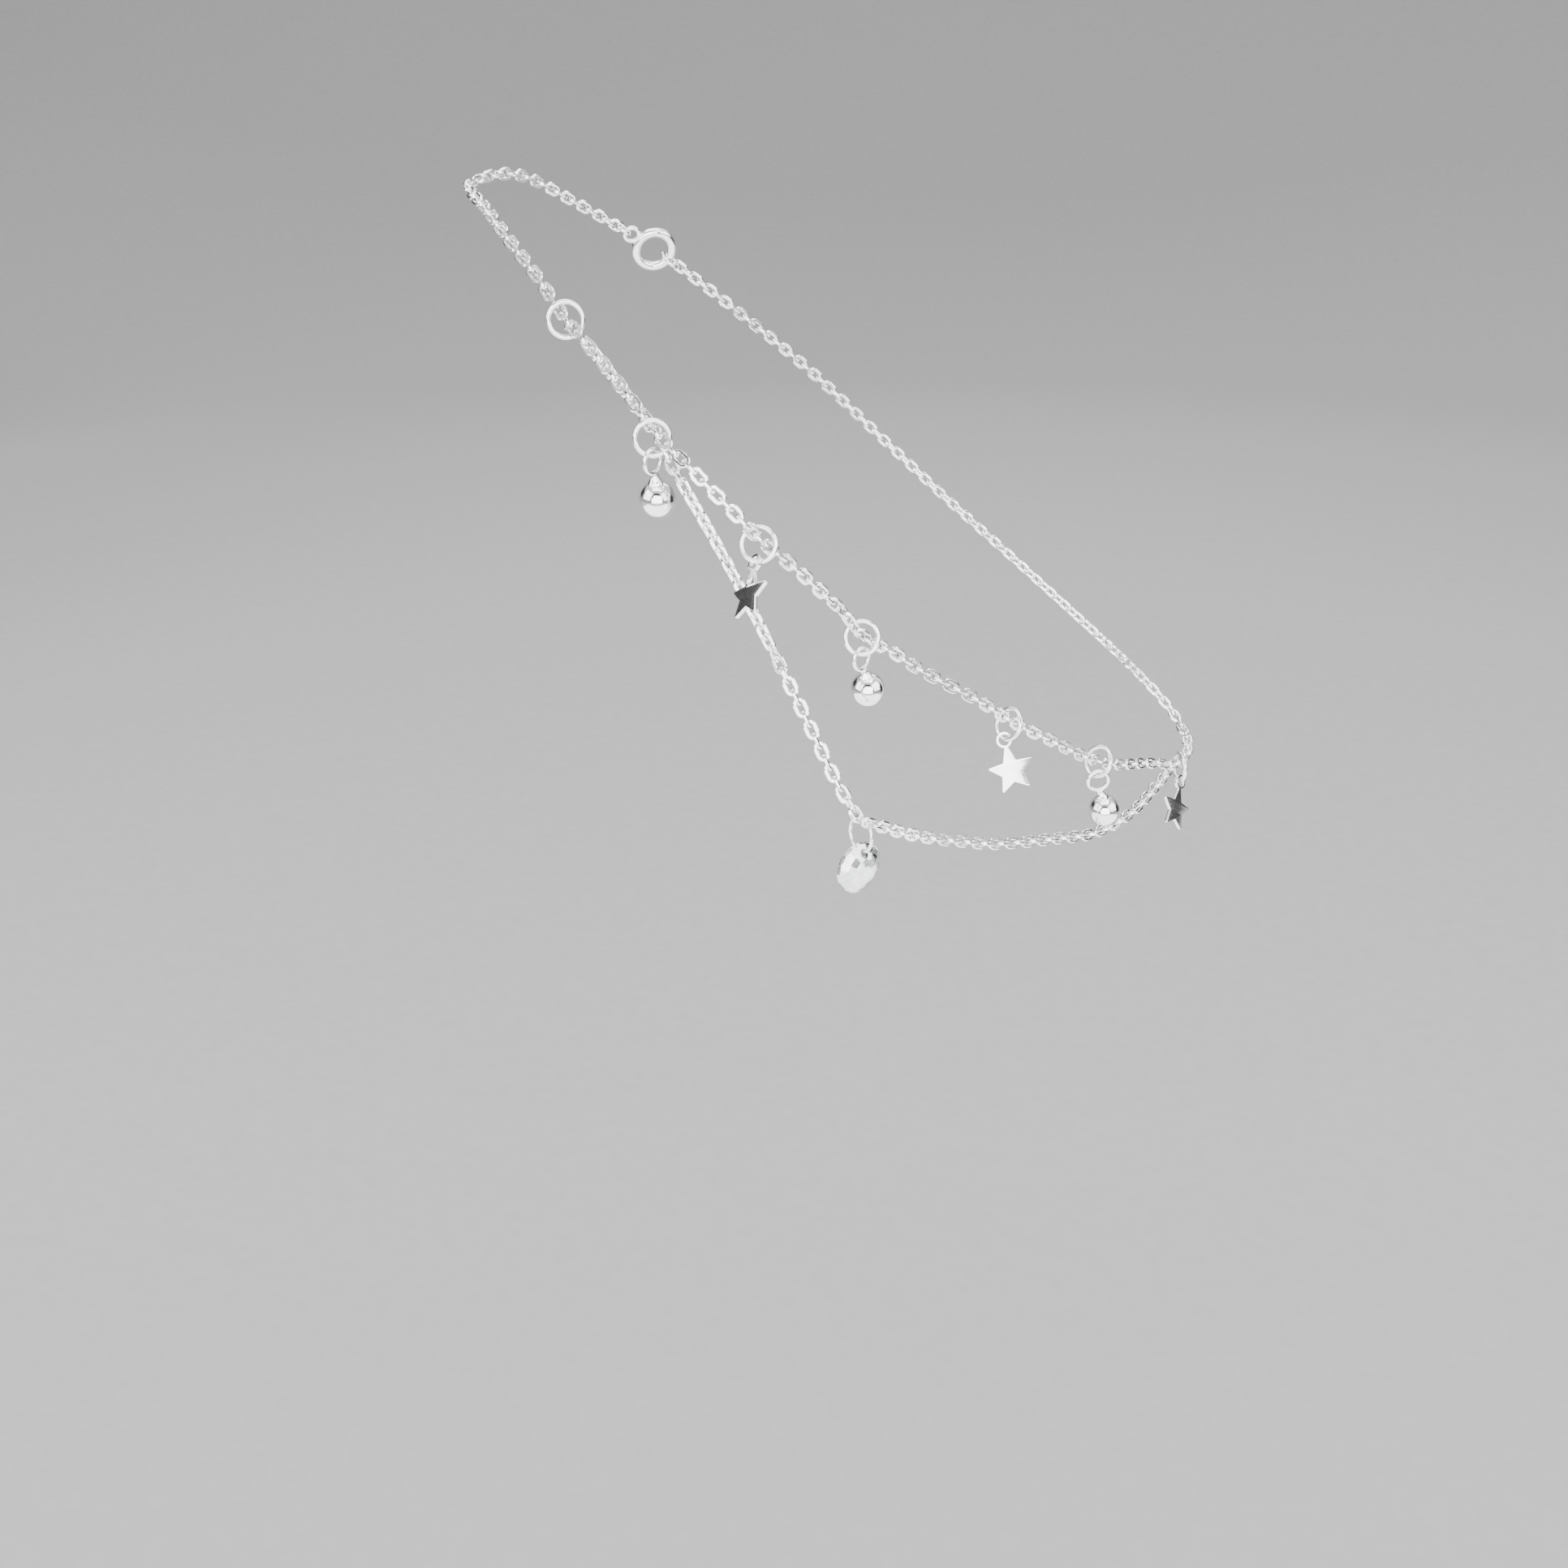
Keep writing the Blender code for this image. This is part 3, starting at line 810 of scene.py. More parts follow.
@dataclass(frozen=True)
class LinkedChain:
    """A run of oval links, each turned a quarter from the last."""

    name: str
    node: str
    link: OvalLink = OvalLink()

    def strand_places(
        self,
        points: list[Vector],
        ends: tuple[Hook, Hook],
        play: float,
        twist: tuple[tuple[float, float], ...],
    ) -> list[LinkPlace]:
        """Places of the links of a strand that hooks a wire at each end.

        Args:
            points: The strand's chosen points between its hooks.
            ends: The wires that it hooks.
            play: The room left at each hook.
            twist: How far the links are turned from facing the front, or a quarter more, keyed
                by the strand's share.

        Returns:
            A place for each link.
        """
        route = Route([ends[0].point, *points, ends[1].point])
        inset = [self.link.reach - (end.wire + self.link.wire) / 2 - play for end in ends]
        places = stepped(inset[0], route.length - inset[1], self.link.pitch)
        headings = [route.heading(place) for place in places]
        facing = [across(FRONT, heading) for heading in headings]
        last = len(places) - 1
        keys = [(0.0, turn_between(facing[0], ends[0].along, headings[0]))]
        for share, turn in twist:
            keys.append((share, unwound(turn, keys[-1][1], QUARTER_TURN)))
        stop = turn_between(facing[-1], ends[1].along, headings[-1]) - QUARTER_TURN * last
        keys.append((1.0, unwound(stop, keys[-1][1], HALF_TURN)))
        made = []
        for i, (place, heading, face) in enumerate(zip(places, headings, facing)):
            turn = keyed(tuple(keys), i / last) + QUARTER_TURN * i
            made.append(LinkPlace(route.at(place), heading, turned(face, heading, turn)))
        return made

    def worn_places(
        self,
        route: Route,
        reach: tuple[float, float],
        twist: tuple[tuple[float, float], ...],
        wires: tuple[Vector, Vector] | None = None,
    ) -> list[LinkPlace]:
        """Places of the links of a stretch of the worn loop.

        Args:
            route: The line that the links follow.
            reach: Where the first and the last link's middles lie.
            twist: How far the links are turned from facing outward, keyed by the route's share.
            wires: The directions of the wires that the first and the last link hook.

        Returns:
            A place for each link, an even number of them.
        """
        start, end = reach
        steps = 2 * math.ceil(((end - start) / self.link.pitch - 1) / 2) + 1
        spots = [start + (end - start) * i / steps for i in range(steps + 1)]
        headings = [route.heading(spot) for spot in spots]
        outward = []
        for spot, heading in zip(spots, headings):
            middle = route.at(spot)
            outward.append(across(Vector((middle.x, middle.y, 0.0)), heading))
        keys = list(twist)
        if wires:
            first = turn_between(outward[0], wires[0], headings[0])
            last = turn_between(outward[-1], wires[1], headings[-1]) - QUARTER_TURN * steps
            keys.insert(0, (start / route.length, unwound(first, keys[0][1], HALF_TURN)))
            keys.append((end / route.length, unwound(last, keys[-1][1], HALF_TURN)))
        made = []
        for i, (spot, heading, face) in enumerate(zip(spots, headings, outward)):
            turn = keyed(tuple(keys), spot / route.length) + QUARTER_TURN * i
            made.append(LinkPlace(route.at(spot), heading, turned(face, heading, turn)))
        return made

    def build(self, shop: Workshop, places: list[LinkPlace]) -> None:
        """Make the chain in place of its solid.

        Args:
            shop: Where it is finished.
            places: Where its links lie.
        """
        raw = RawMesh()
        corners, faces = self.link.shape()
        for place in places:
            matrix = placing(place.middle, place.face, place.face.cross(place.heading))
            raw.add(corners, faces, matrix)
        shop.finish(raw.piece(self.name, CRISP_LINK), Polish.TUMBLED, self.node)
        log.info("%s: %d links", self.name, len(places))


@dataclass(frozen=True)
class BallDrop:
    """A polished bead under a flared cap, with its bail."""

    diameter: float = 3.7 * MM
    bail: WireRing = WireRing(outer=2.8 * MM, wire=0.45 * MM, seam=0.0, steps=56)
    cap_base: float = 1.5 * MM
    cap_top: float = 0.8 * MM
    cap_height: float = 0.95 * MM
    sink: float = 0.15 * MM
    bail_lift: float = 0.07 * MM
    cap_lobes: int = 4
    cap_flare: float = 0.12
    # The cap's wall: how it curves out, how far down it goes as a share of the cap's height,
    # how far its rim stands out and how high over the bead the rim ends
    cap_curve: float = 1.6
    cap_wall: float = 0.86
    rim_spread: float = 0.03 * MM
    rim_gap: float = 0.02 * MM
    # The cap's crown: its width as a share of the cap's top, and how far it rises
    crown: float = 0.6
    crown_rise: float = 0.02 * MM
    cap_steps: int = 48
    cap_rings: int = 8
    bead_steps: int = 64
    bead_rings: int = 32
    # Half the angle of the small flat at each end of the bead, in radians
    bead_flat: float = 0.02

    def bead_shape(self) -> tuple[np.ndarray, list[tuple[int, ...]]]:
        """Turn the bead.

        Returns:
            Corners and faces, its middle at the origin.
        """
        radius = self.diameter / 2
        angles = np.linspace(self.bead_flat, math.pi - self.bead_flat, self.bead_rings)
        profile = [(radius * math.sin(angle), radius * math.cos(angle)) for angle in angles]
        return turned_shape(profile, self.bead_steps)

    def cap_shape(self, bead_below: float) -> tuple[np.ndarray, list[tuple[int, ...]]]:
        """Turn the cap, its rim set down on the bead.

        Args:
            bead_below: From the cap's top down to the bead's middle.

        Returns:
            Corners and faces, the cap's top at height zero.
        """
        top, base = self.cap_top / 2, self.cap_base / 2
        profile = [(top * self.crown, self.crown_rise)]
        for i in range(self.cap_rings + 1):
            t = i / self.cap_rings
            radius = top + (base - top) * t**self.cap_curve
            profile.append((radius, -self.cap_height * self.cap_wall * t))
        rim = base + self.rim_spread
        drop = math.sqrt((self.diameter / 2) ** 2 - rim**2)
        profile.append((rim, drop - bead_below + self.rim_gap))
        return turned_shape(profile, self.cap_steps, self.cap_lobes, self.cap_flare)

    def build(self, shop: Workshop, node: str) -> None:
        """Make the drop in place of its solid.

        Args:
            shop: Where it is finished.
            node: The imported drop.
        """
        seat = Seat.of(node)
        place = placing(seat.centre, seat.thinnest, seat.longest)
        ball_at = self.diameter / 2 - seat.reach[0]
        cap_at = ball_at + self.diameter / 2 + self.cap_height - self.sink
        bail_at = cap_at + self.bail.outer / 2 - self.sink + self.bail_lift
        raw = RawMesh()
        raw.add(*self.bead_shape(), place @ Matrix.Translation((0.0, ball_at, 0.0)))
        raw.add(*self.cap_shape(cap_at - ball_at), place @ Matrix.Translation((0.0, cap_at, 0.0)))
        raw.add(*self.bail.shape(), place @ Matrix.Translation((0.0, bail_at, 0.0)))
        shop.finish(raw.piece(f"{node}_bead", CRISP_BEAD), Polish.MIRROR, node)


def rounded(
    corners: list[tuple[float, float]], radii: list[float], steps: int
) -> list[tuple[float, float]]:
    """An outline with each corner rounded.

    Args:
        corners: The outline's corners.
        radii: The radius at each, zero for none.
        steps: How many steps each arc has.

    Returns:
        The rounded outline.
    """
    made = []
    count = len(corners)
    for i, radius in enumerate(radii):
        here = Vector(corners[i])
        before = (Vector(corners[i - 1]) - here).normalized()
        after = (Vector(corners[(i + 1) % count]) - here).normalized()
        half = before.angle(after) / 2
        if radius == 0:
            made.append(tuple(here))
            continue
        centre = here + (before + after).normalized() * radius / math.sin(half)
        start = here + before * radius / math.tan(half) - centre
        end = here + after * radius / math.tan(half) - centre
        turn = start.angle_signed(end)
        for step in range(steps + 1):
            bend = Matrix.Rotation(-turn * step / steps, 2)
            made.append(tuple(centre + bend @ start))
    return made


@dataclass(frozen=True)
class StarDrop:
    """A stamped star with its loop, cut from one plate."""

    radius: float = 2.8 * MM
    waist: float = 0.46
    points: int = 5
    thickness: float = 0.4 * MM
    neck: float = 0.44 * MM
    loop_outer: float = 1.8 * MM
    loop_hole: float = 1.22 * MM
    tip_sink: float = 0.2 * MM
    tip_round: float = 0.13 * MM
    waist_round: float = 0.1 * MM
    edge_round: float = 0.035 * MM
    loop_steps: int = 40
    round_steps: int = 6
    edge_steps: int = 2
    # Corners closer than this are joined
    weld: float = 0.001 * MM

    def outline(self) -> list[tuple[float, float]]:
        """Draw the star and its loop in one line.

        Returns:
            The line's points, the loop's middle at the origin.
        """
        loop = self.loop_outer / 2
        centre = self.tip_sink - loop - self.radius
        corners, radii = [], []
        for i in range(1, 2 * self.points):
            reach = self.radius * self.waist if i % 2 else self.radius
            angle = math.pi / 2 + i * math.pi / self.points
            corners.append((reach * math.cos(angle), centre + reach * math.sin(angle)))
            radii.append(self.waist_round if i % 2 else self.tip_round)
        half_neck = self.neck / 2
        join = math.asin(half_neck / loop)
        for step in range(self.loop_steps + 1):
            angle = -math.pi / 2 + join + (2 * math.pi - 2 * join) * step / self.loop_steps
            corners.append((loop * math.cos(angle), loop * math.sin(angle)))
            radii.append(0.0)
        return rounded(corners, radii, self.round_steps)

    def plate(self) -> bpy.types.Mesh:
        """The plate with its edges softened.

        Returns:
            A closed mesh.
        """
        hole = [
            (
                self.loop_hole / 2 * math.cos(2 * math.pi * i / self.loop_steps),
                self.loop_hole / 2 * math.sin(2 * math.pi * i / self.loop_steps),
            )
            for i in range(self.loop_steps)
        ]
        curve = bpy.data.curves.new("star_outline", "CURVE")
        curve.dimensions = "2D"
        curve.fill_mode = "BOTH"
        curve.extrude = self.thickness / 2 - self.edge_round
        curve.bevel_depth = self.edge_round
        curve.bevel_resolution = self.edge_steps
        curve.offset = -self.edge_round
        for outline in (self.outline(), hole):
            spline = curve.splines.new("POLY")
            spline.points.add(len(outline) - 1)
            for point, (x, y) in zip(spline.points, outline):
                point.co = (x, y, 0.0, 1.0)
            spline.use_cyclic_u = True
        obj = bpy.data.objects.new("star_outline", curve)
        bpy.context.scene.collection.objects.link(obj)
        graph = bpy.context.evaluated_depsgraph_get()
        mesh = bpy.data.meshes.new_from_object(obj.evaluated_get(graph))
        bpy.data.objects.remove(obj)
        bpy.data.curves.remove(curve)
        return mesh

    def build(self, shop: Workshop, node: str) -> None:
        """Make the drop in place of its solid.

        Args:
            shop: Where it is finished.
            node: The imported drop.
        """
        seat = Seat.of(node)
        loop_at = seat.reach[0] - self.loop_outer / 2
        place = placing(seat.centre, seat.thinnest, seat.longest)
        mesh = self.plate()
        mesh.name = f"{node}_plate"
        editable = bmesh.new()
        editable.from_mesh(mesh)
        bmesh.ops.remove_doubles(editable, verts=editable.verts, dist=self.weld)
        bmesh.ops.recalc_face_normals(editable, faces=editable.faces)
        editable.to_mesh(mesh)
        editable.free()
        mesh.transform(place @ Matrix.Translation((0.0, loop_at, 0.0)))
        mesh.shade_smooth()
        mesh.set_sharp_from_angle(angle=math.radians(CRISP_PLATE))
        obj = bpy.data.objects.new(mesh.name, mesh)
        bpy.context.scene.collection.objects.link(obj)
        shop.finish(obj, Polish.STAMPED, node)


@dataclass(frozen=True)
class CutStone:
    """A round drilled stone, cut alike on both faces in staggered rows of facets."""

    diameter: float = 5.5 * MM
    depth: float = 2.6 * MM
    girdle: float = 0.3 * MM
    hole: float = 0.9 * MM
    hole_edge: float = 0.4 * MM
    # Each row's distance from the middle as a share of the radius, its facets and its turn
    # as a share of a facet
    rows: tuple[tuple[float, int, float], ...] = (
        (0.0, 1, 0.0),
        (0.36, 8, 0.0),
        (0.62, 12, 0.5),
        (0.84, 16, 0.0),
    )
    sides: int = 16
    hole_sides: int = 40
    # How full the stone's smooth form is: 2 for a lens, more for flatter faces
    fullness: float = 2.4
    # The rough block's side as a share of the width, and the drill's length of the depth
    block: float = 1.2
    drill_length: float = 1.5

    def dome(self, share: float) -> tuple[float, float]:
        """Read the stone's smooth form.

        Args:
            share: How far out to read it, as a share of the radius.

        Returns:
            The form's height and its slope.
        """
        rise = (self.depth - self.girdle) / 2
        height = self.girdle / 2 + rise * (1 - share**self.fullness)
        slope = self.fullness * rise * share ** (self.fullness - 1) / (self.diameter / 2)
        return height, slope

    def facets(self) -> list[tuple[Vector, Vector]]:
        """Lay out the facets of both faces and the girdle.

        Returns:
            A point and an outward normal for each.
        """
        radius = self.diameter / 2
        made = []
        for share, count, turn in self.rows:
            height, slope = self.dome(share)
            for i in range(count):
                angle = 2 * math.pi * (i + turn) / count
                away = Vector((math.cos(angle), math.sin(angle), 0.0))
                for side in (1, -1):
                    normal = (away * slope + UP * side).normalized()
                    made.append((away * radius * share + UP * side * height, normal))
        flat = radius * math.cos(math.pi / self.sides)
        for i in range(self.sides):
            angle = 2 * math.pi * (i + 0.5) / self.sides
            away = Vector((math.cos(angle), math.sin(angle), 0.0))
            made.append((away * flat, away))
        return made

    def build(self, shop: Workshop, node: str) -> None:
        """Cut the stone out of a block, drill it and set it in place of its solid.

        Args:
            shop: Where it is finished.
            node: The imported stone.
        """
        seat = Seat.of(node)
        up = seat.longest if abs(seat.longest.z) > abs(seat.middle.z) else seat.middle
        place = placing(seat.centre, seat.thinnest, up * math.copysign(1, up.z))
        stone = bmesh.new()
        bmesh.ops.create_cube(stone, size=self.diameter * self.block)
        for point, normal in self.facets():
            cut = bmesh.ops.bisect_plane(
                stone,
                geom=stone.verts[:] + stone.edges[:] + stone.faces[:],
                plane_co=point,
                plane_no=normal,
                clear_outer=True,
            )
            rim = [edge for edge in cut["geom_cut"] if isinstance(edge, bmesh.types.BMEdge)]
            if rim:
                bmesh.ops.contextual_create(stone, geom=rim)
        bmesh.ops.recalc_face_normals(stone, faces=stone.faces)
        mesh = bpy.data.meshes.new(f"{node}_cut")
        stone.to_mesh(mesh)
        stone.free()
        obj = bpy.data.objects.new(mesh.name, mesh)
        bpy.context.scene.collection.objects.link(obj)
        self.drill(obj)
        obj.data.transform(place)
        shop.finish(obj, None, node)

    def drill(self, obj: bpy.types.Object) -> None:
        """Drill the stone's hole.

        Args:
            obj: The stone, its middle at the origin and its top along Y.
        """
        hole_off = self.diameter / 2 - self.hole_edge - self.hole / 2
        drill = bmesh.new()
        bmesh.ops.create_cone(
            drill,
            cap_ends=True,
            segments=self.hole_sides,
            radius1=self.hole / 2,
            radius2=self.hole / 2,
            depth=self.depth * self.drill_length,
            matrix=Matrix.Translation((0.0, hole_off, 0.0)),
        )
        mesh = bpy.data.meshes.new("drill")
        drill.to_mesh(mesh)
        drill.free()
        cutter = bpy.data.objects.new("drill", mesh)
        bpy.context.scene.collection.objects.link(cutter)
        cut = obj.modifiers.new("hole", "BOOLEAN")
        cut.operation = "DIFFERENCE"
        cut.object = cutter
        bpy.context.view_layer.update()
        graph = bpy.context.evaluated_depsgraph_get()
        obj.data = bpy.data.meshes.new_from_object(obj.evaluated_get(graph))
        obj.data.name = obj.name
        obj.modifiers.clear()
        bpy.data.objects.remove(cutter)


@dataclass(frozen=True)
class RoundClasp:
    """The hidden clasp: a round body with an eye at one end, and the ring that it catches at the other.
    """

    body: WireRing = WireRing(outer=5.5 * MM, wire=1.1 * MM, seam=0.0, sides=20)
    eye: WireRing = WireRing(outer=2.2 * MM, wire=0.5 * MM, seam=0.0, steps=40)
    eye_sink: float = 0.12 * MM
    end_ring: WireRing = WireRing(outer=2.8 * MM, wire=0.42 * MM, seam=0.04 * MM, steps=48)
    # Where the caught ring's seam is, in degrees from the chain's way
    end_ring_seam: float = 200.0
    play: float = 0.08 * MM

    @property
    def eye_reach(self) -> float:
        """From the clasp's middle to an eye's."""
        return (self.body.outer + self.eye.outer) / 2 - self.eye.wire / 2 - self.eye_sink

    @property
    def end_ring_reach(self) -> float:
        """From the clasp's middle to the middle of the ring that the clasp catches."""
        slack = self.end_ring.outer / 2 - self.end_ring.wire - self.body.wire / 2 - self.play
        return self.body.radius + slack

    def hooks(self) -> tuple[Hook, Hook]:
        """The wires that the chain's two ends hook.

        Returns:
            The eye's wire and the caught ring's, placed from the clasp's middle.
        """
        eye = Vector((self.eye_reach + self.eye.radius, 0.0, 0.0))
        ring = Vector((-self.end_ring_reach - self.end_ring.radius, 0.0, 0.0))
        across_plane = Vector((0.0, 0.0, 1.0))
        along_plane = Vector((0.0, 1.0, 0.0))
        return Hook(eye, along_plane, self.eye.wire), Hook(ring, across_plane, self.end_ring.wire)

    def place(self, route: Route) -> Matrix:
        """Find where the clasp sits.

        Args:
            route: The long chain's line.

        Returns:
            Its place: its middle at the route's start, X along the chain and Z outward.
        """
        heading = route.heading(0.0)
        outward = across(route.at(0.0), heading)
        return placing(route.at(0.0), outward, outward.cross(heading))

    def build(self, shop: Workshop, node: str, place: Matrix) -> None:
        """Make the clasp in place of its solid.

        Args:
            shop: Where it is finished.
            node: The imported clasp.
            place: Where it sits.
        """
        raw = RawMesh()
        raw.add(*self.body.shape(), place)
        raw.add(*self.eye.shape(), place @ Matrix.Translation((self.eye_reach, 0.0, 0.0)))
        shop.finish(raw.piece(f"{node}_body", CRISP_WIRE), Polish.DRAWN, node)
        caught = RawMesh()
        standing = Matrix.Translation((-self.end_ring_reach, 0.0, 0.0)) @ Matrix.Rotation(
            math.pi / 2, 4, "X"
        )
        caught.add(*self.end_ring.shape(self.end_ring_seam), place @ standing)
        shop.finish(caught.piece(f"{node}_end_ring", CRISP_WIRE), Polish.DRAWN, node)


@dataclass(frozen=True)
class Anklet:
    """The whole anklet, built piece by piece."""

    ring: WireRing = WireRing()
    crystal_ring: WireRing = WireRing(outer=4.0 * MM, wire=0.38 * MM)
    link: OvalLink = OvalLink()
    clasp: RoundClasp = RoundClasp()
    ring_count: int = 7
    drop_count: int = 3
    play: float = 0.08 * MM
    # The worn chains' lines are drawn through points this many links apart
    point_links: int = 2
    # Where each jump ring's seam is, in degrees from its right-hand side
    seams: tuple[float, ...] = (-50.0, 160.0, 40.0, 130.0, 150.0, 170.0, 60.0)
    crystal_seam: float = -90.0
    # Where the lower strands hook the second ring, the crystal's ring and the last ring
    start_hook: float = 40.0
    crystal_hook: float = 24.0
    end_hook: float = -76.0
    left_twist: tuple[tuple[float, float], ...] = ((0.12, 45.0), (0.5, 45.0), (0.62, 90.0), (0.9, 90.0))
    right_twist: tuple[tuple[float, float], ...] = ((0.08, 90.0), (0.92, 90.0))
    # The twist of the worn chain along its route, as a share of its length and in degrees
    main_twist: tuple[tuple[float, float], ...] = (
        (0.08, 75.0),
        (0.16, 32.0),
        (0.2, 34.0),
        (0.26, 48.0),
        (0.3, 58.0),
        (0.36, 70.0),
        (0.375, 115.0),
        (0.385, 115.0),
        (0.4, 81.0),
        (0.44, 88.0),
        (0.48, 100.0),
        (0.52, 103.0),
        (0.56, 78.0),
        (0.6, 62.0),
        (0.7, 90.0),
        (0.95, 90.0),
    )
    # How far the long chain is drawn into each ring, and into the ring that it crosses most
    # steeply, over how long a stretch, and how far past the clasp's eye it follows its own line
    ring_draw: float = 0.25 * MM
    wide_ring: int = 4
    wide_draw: float = 0.62 * MM
    ring_draw_reach: float = 4.0 * MM
    clasp_margin: float = 3.5 * MM
    second_twist: tuple[tuple[float, float], ...] = ((0.0, 0.0), (1.0, 0.0))
    second_start: float = 2.9 * MM
    second_end: float = -1.3 * MM
    second_behind: float = 1.5 * MM
    # The way that the doubled strand lies from the long one, inward and hidden from the front
    second_side: tuple[float, float, float] = (-0.16, 0.97, -0.2)

    def build(self, shop: Workshop) -> None:
        """Build every piece.

        Args:
            shop: Where the pieces are finished.
        """
        route = Route(chosen(MAIN_ROUTE), closed=True)
        rings = self.build_rings(shop)
        self.build_worn_chains(shop, route, rings)
        self.build_lower_chains(shop, rings)
        for number in range(1, self.drop_count + 1):
            BallDrop().build(shop, f"ball_drop_{number}")
            StarDrop().build(shop, f"star_drop_{number}")
        CutStone().build(shop, "crystal_stone")
        self.clasp.build(shop, "clasp", self.clasp.place(route))

    def build_rings(self, shop: Workshop) -> list[PlacedRing]:
        """Build the jump rings and the crystal's ring.

        Args:
            shop: Where they are finished.

        Returns:
            The jump rings in order, and then the crystal's ring.
        """
        made = []
        for number, seam in enumerate(self.seams, 1):
            node = f"jump_ring_{number}"
            made.append(PlacedRing(Seat.of(node), self.ring))
            made[-1].build(shop, node, seam)
        made.append(PlacedRing(Seat.of("crystal_ring"), self.crystal_ring))
        made[-1].build(shop, "crystal_ring", self.crystal_seam)
        return made

    def build_worn_chains(self, shop: Workshop, route: Route, rings: list[PlacedRing]) -> None:
        """Build the long chain and its doubled stretch.

        Args:
            shop: Where they are finished.
            route: The long chain's line.
            rings: The jump rings in order.
        """
        place = self.clasp.place(route)
        hooks = self.clasp.hooks()
        insets = [
            self.link.reach - (hook.wire + self.link.wire) / 2 - self.play for hook in hooks
        ]
        margin = self.clasp.eye_reach + self.clasp_margin
        spots = stepped(margin, route.length - margin, self.link.pitch * self.point_links)
        points = [self.beside_rings(route, spot, rings) for spot in spots]
        worn = Route([place @ hooks[0].point, *points, place @ hooks[1].point])
        main = LinkedChain("main_chain_links", "main_chain", self.link)
        wires = tuple(place.to_3x3() @ hook.along for hook in hooks)
        reach = (insets[0], worn.length - insets[1])
        main.build(shop, main.worn_places(worn, reach, self.main_twist, wires))
        start = route.nearest(rings[0].seat.centre) + self.second_start
        end = route.nearest(rings[1].seat.centre) + self.second_end
        inner = []
        for distance in stepped(start, end, self.link.pitch * self.point_links):
            inward = across(Vector(self.second_side), route.heading(distance))
            inner.append(route.at(distance) + inward * self.second_behind)
        second_route = Route(inner)
        second = LinkedChain("second_chain_links", "second_chain", self.link)
        reach = (0.0, second_route.length)
        second.build(shop, second.worn_places(second_route, reach, self.second_twist))

    def beside_rings(self, route: Route, spot: float, rings: list[PlacedRing]) -> Vector:
        """A point of the long chain, drawn a little into each ring that it passes through.

        Args:
            route: The long chain's line.
            spot: How far along it the point lies.
            rings: The jump rings in order, and then the crystal's ring.

        Returns:
            The point.
        """
        point = route.at(spot)
        drawn = Vector()
        for number, ring in enumerate(rings[: self.ring_count], 1):
            draw = self.wide_draw if number == self.wide_ring else self.ring_draw
            crossing = route.at(route.nearest(ring.seat.centre))
            share = (point - crossing).length / self.ring_draw_reach
            inward = (ring.seat.centre - crossing).normalized()
            drawn += inward * draw * max(0.0, 1 - share**2)
        return point + drawn

    def build_lower_chains(self, shop: Workshop, rings: list[PlacedRing]) -> None:
        """Build the two strands that hang below the long chain.

        Args:
            shop: Where they are finished.
            rings: The jump rings in order, and then the crystal's ring.
        """
        crystal = rings[-1]
        hooks = [
            Hook(ring.wire_point(angle), ring.along_wire(angle), ring.ring.wire)
            for ring, angle in (
                (rings[1], self.start_hook),
                (crystal, 180.0 + self.crystal_hook),
                (crystal, 180.0 - self.crystal_hook),
                (rings[self.ring_count - 1], self.end_hook),
            )
        ]
        for name, points, ends, twist in (
            ("left", LOWER_LEFT_ROUTE, (hooks[0], hooks[1]), self.left_twist),
            ("right", LOWER_RIGHT_ROUTE, (hooks[2], hooks[3]), self.right_twist),
        ):
            node = f"lower_chain_{name}"
            strand = LinkedChain(f"{node}_links", node, self.link)
            strand.build(shop, strand.strand_places(chosen(points), ends, self.play, twist))


@dataclass(frozen=True)
class SoftLight:
    """A soft studio light, aimed at the anklet."""

    name: str
    place: tuple[float, float, float]
    size: tuple[float, float]
    glow: float

    def build(self) -> None:
        """Set the light up, its power worked out from its glow."""
        lamp = bpy.data.lights.new(self.name, "AREA")
        lamp.shape = "RECTANGLE"
        lamp.size, lamp.size_y = self.size
        lamp.energy = self.glow * math.pi * self.size[0] * self.size[1]
        obj = bpy.data.objects.new(self.name, lamp)
        obj.location = self.place
        obj.rotation_mode = "QUATERNION"
        obj.rotation_quaternion = (-Vector(self.place)).to_track_quat("-Z", "Y")
        obj.visible_camera = False
        bpy.context.scene.collection.objects.link(obj)


@dataclass(frozen=True)
class DarkCard:
    """A dark card outside the picture, for the silver to mirror."""

    name: str
    place: tuple[float, float, float]
    size: tuple[float, float]

    def build(self, material: bpy.types.Material) -> None:
        """Set the card up, its face towards the anklet.

        Args:
            material: The card's finish.
        """
        mesh = bpy.data.meshes.new(self.name)
        card = bmesh.new()
        bmesh.ops.create_grid(card, x_segments=1, y_segments=1, size=0.5)
        bmesh.ops.scale(card, vec=(*self.size, 1.0), verts=card.verts)
        card.to_mesh(mesh)
        card.free()
        mesh.materials.append(material)
        obj = bpy.data.objects.new(self.name, mesh)
        obj.location = self.place
        obj.rotation_mode = "QUATERNION"
        obj.rotation_quaternion = (-Vector(self.place)).to_track_quat("Z", "Y")
        obj.visible_camera = False
        bpy.context.scene.collection.objects.link(obj)


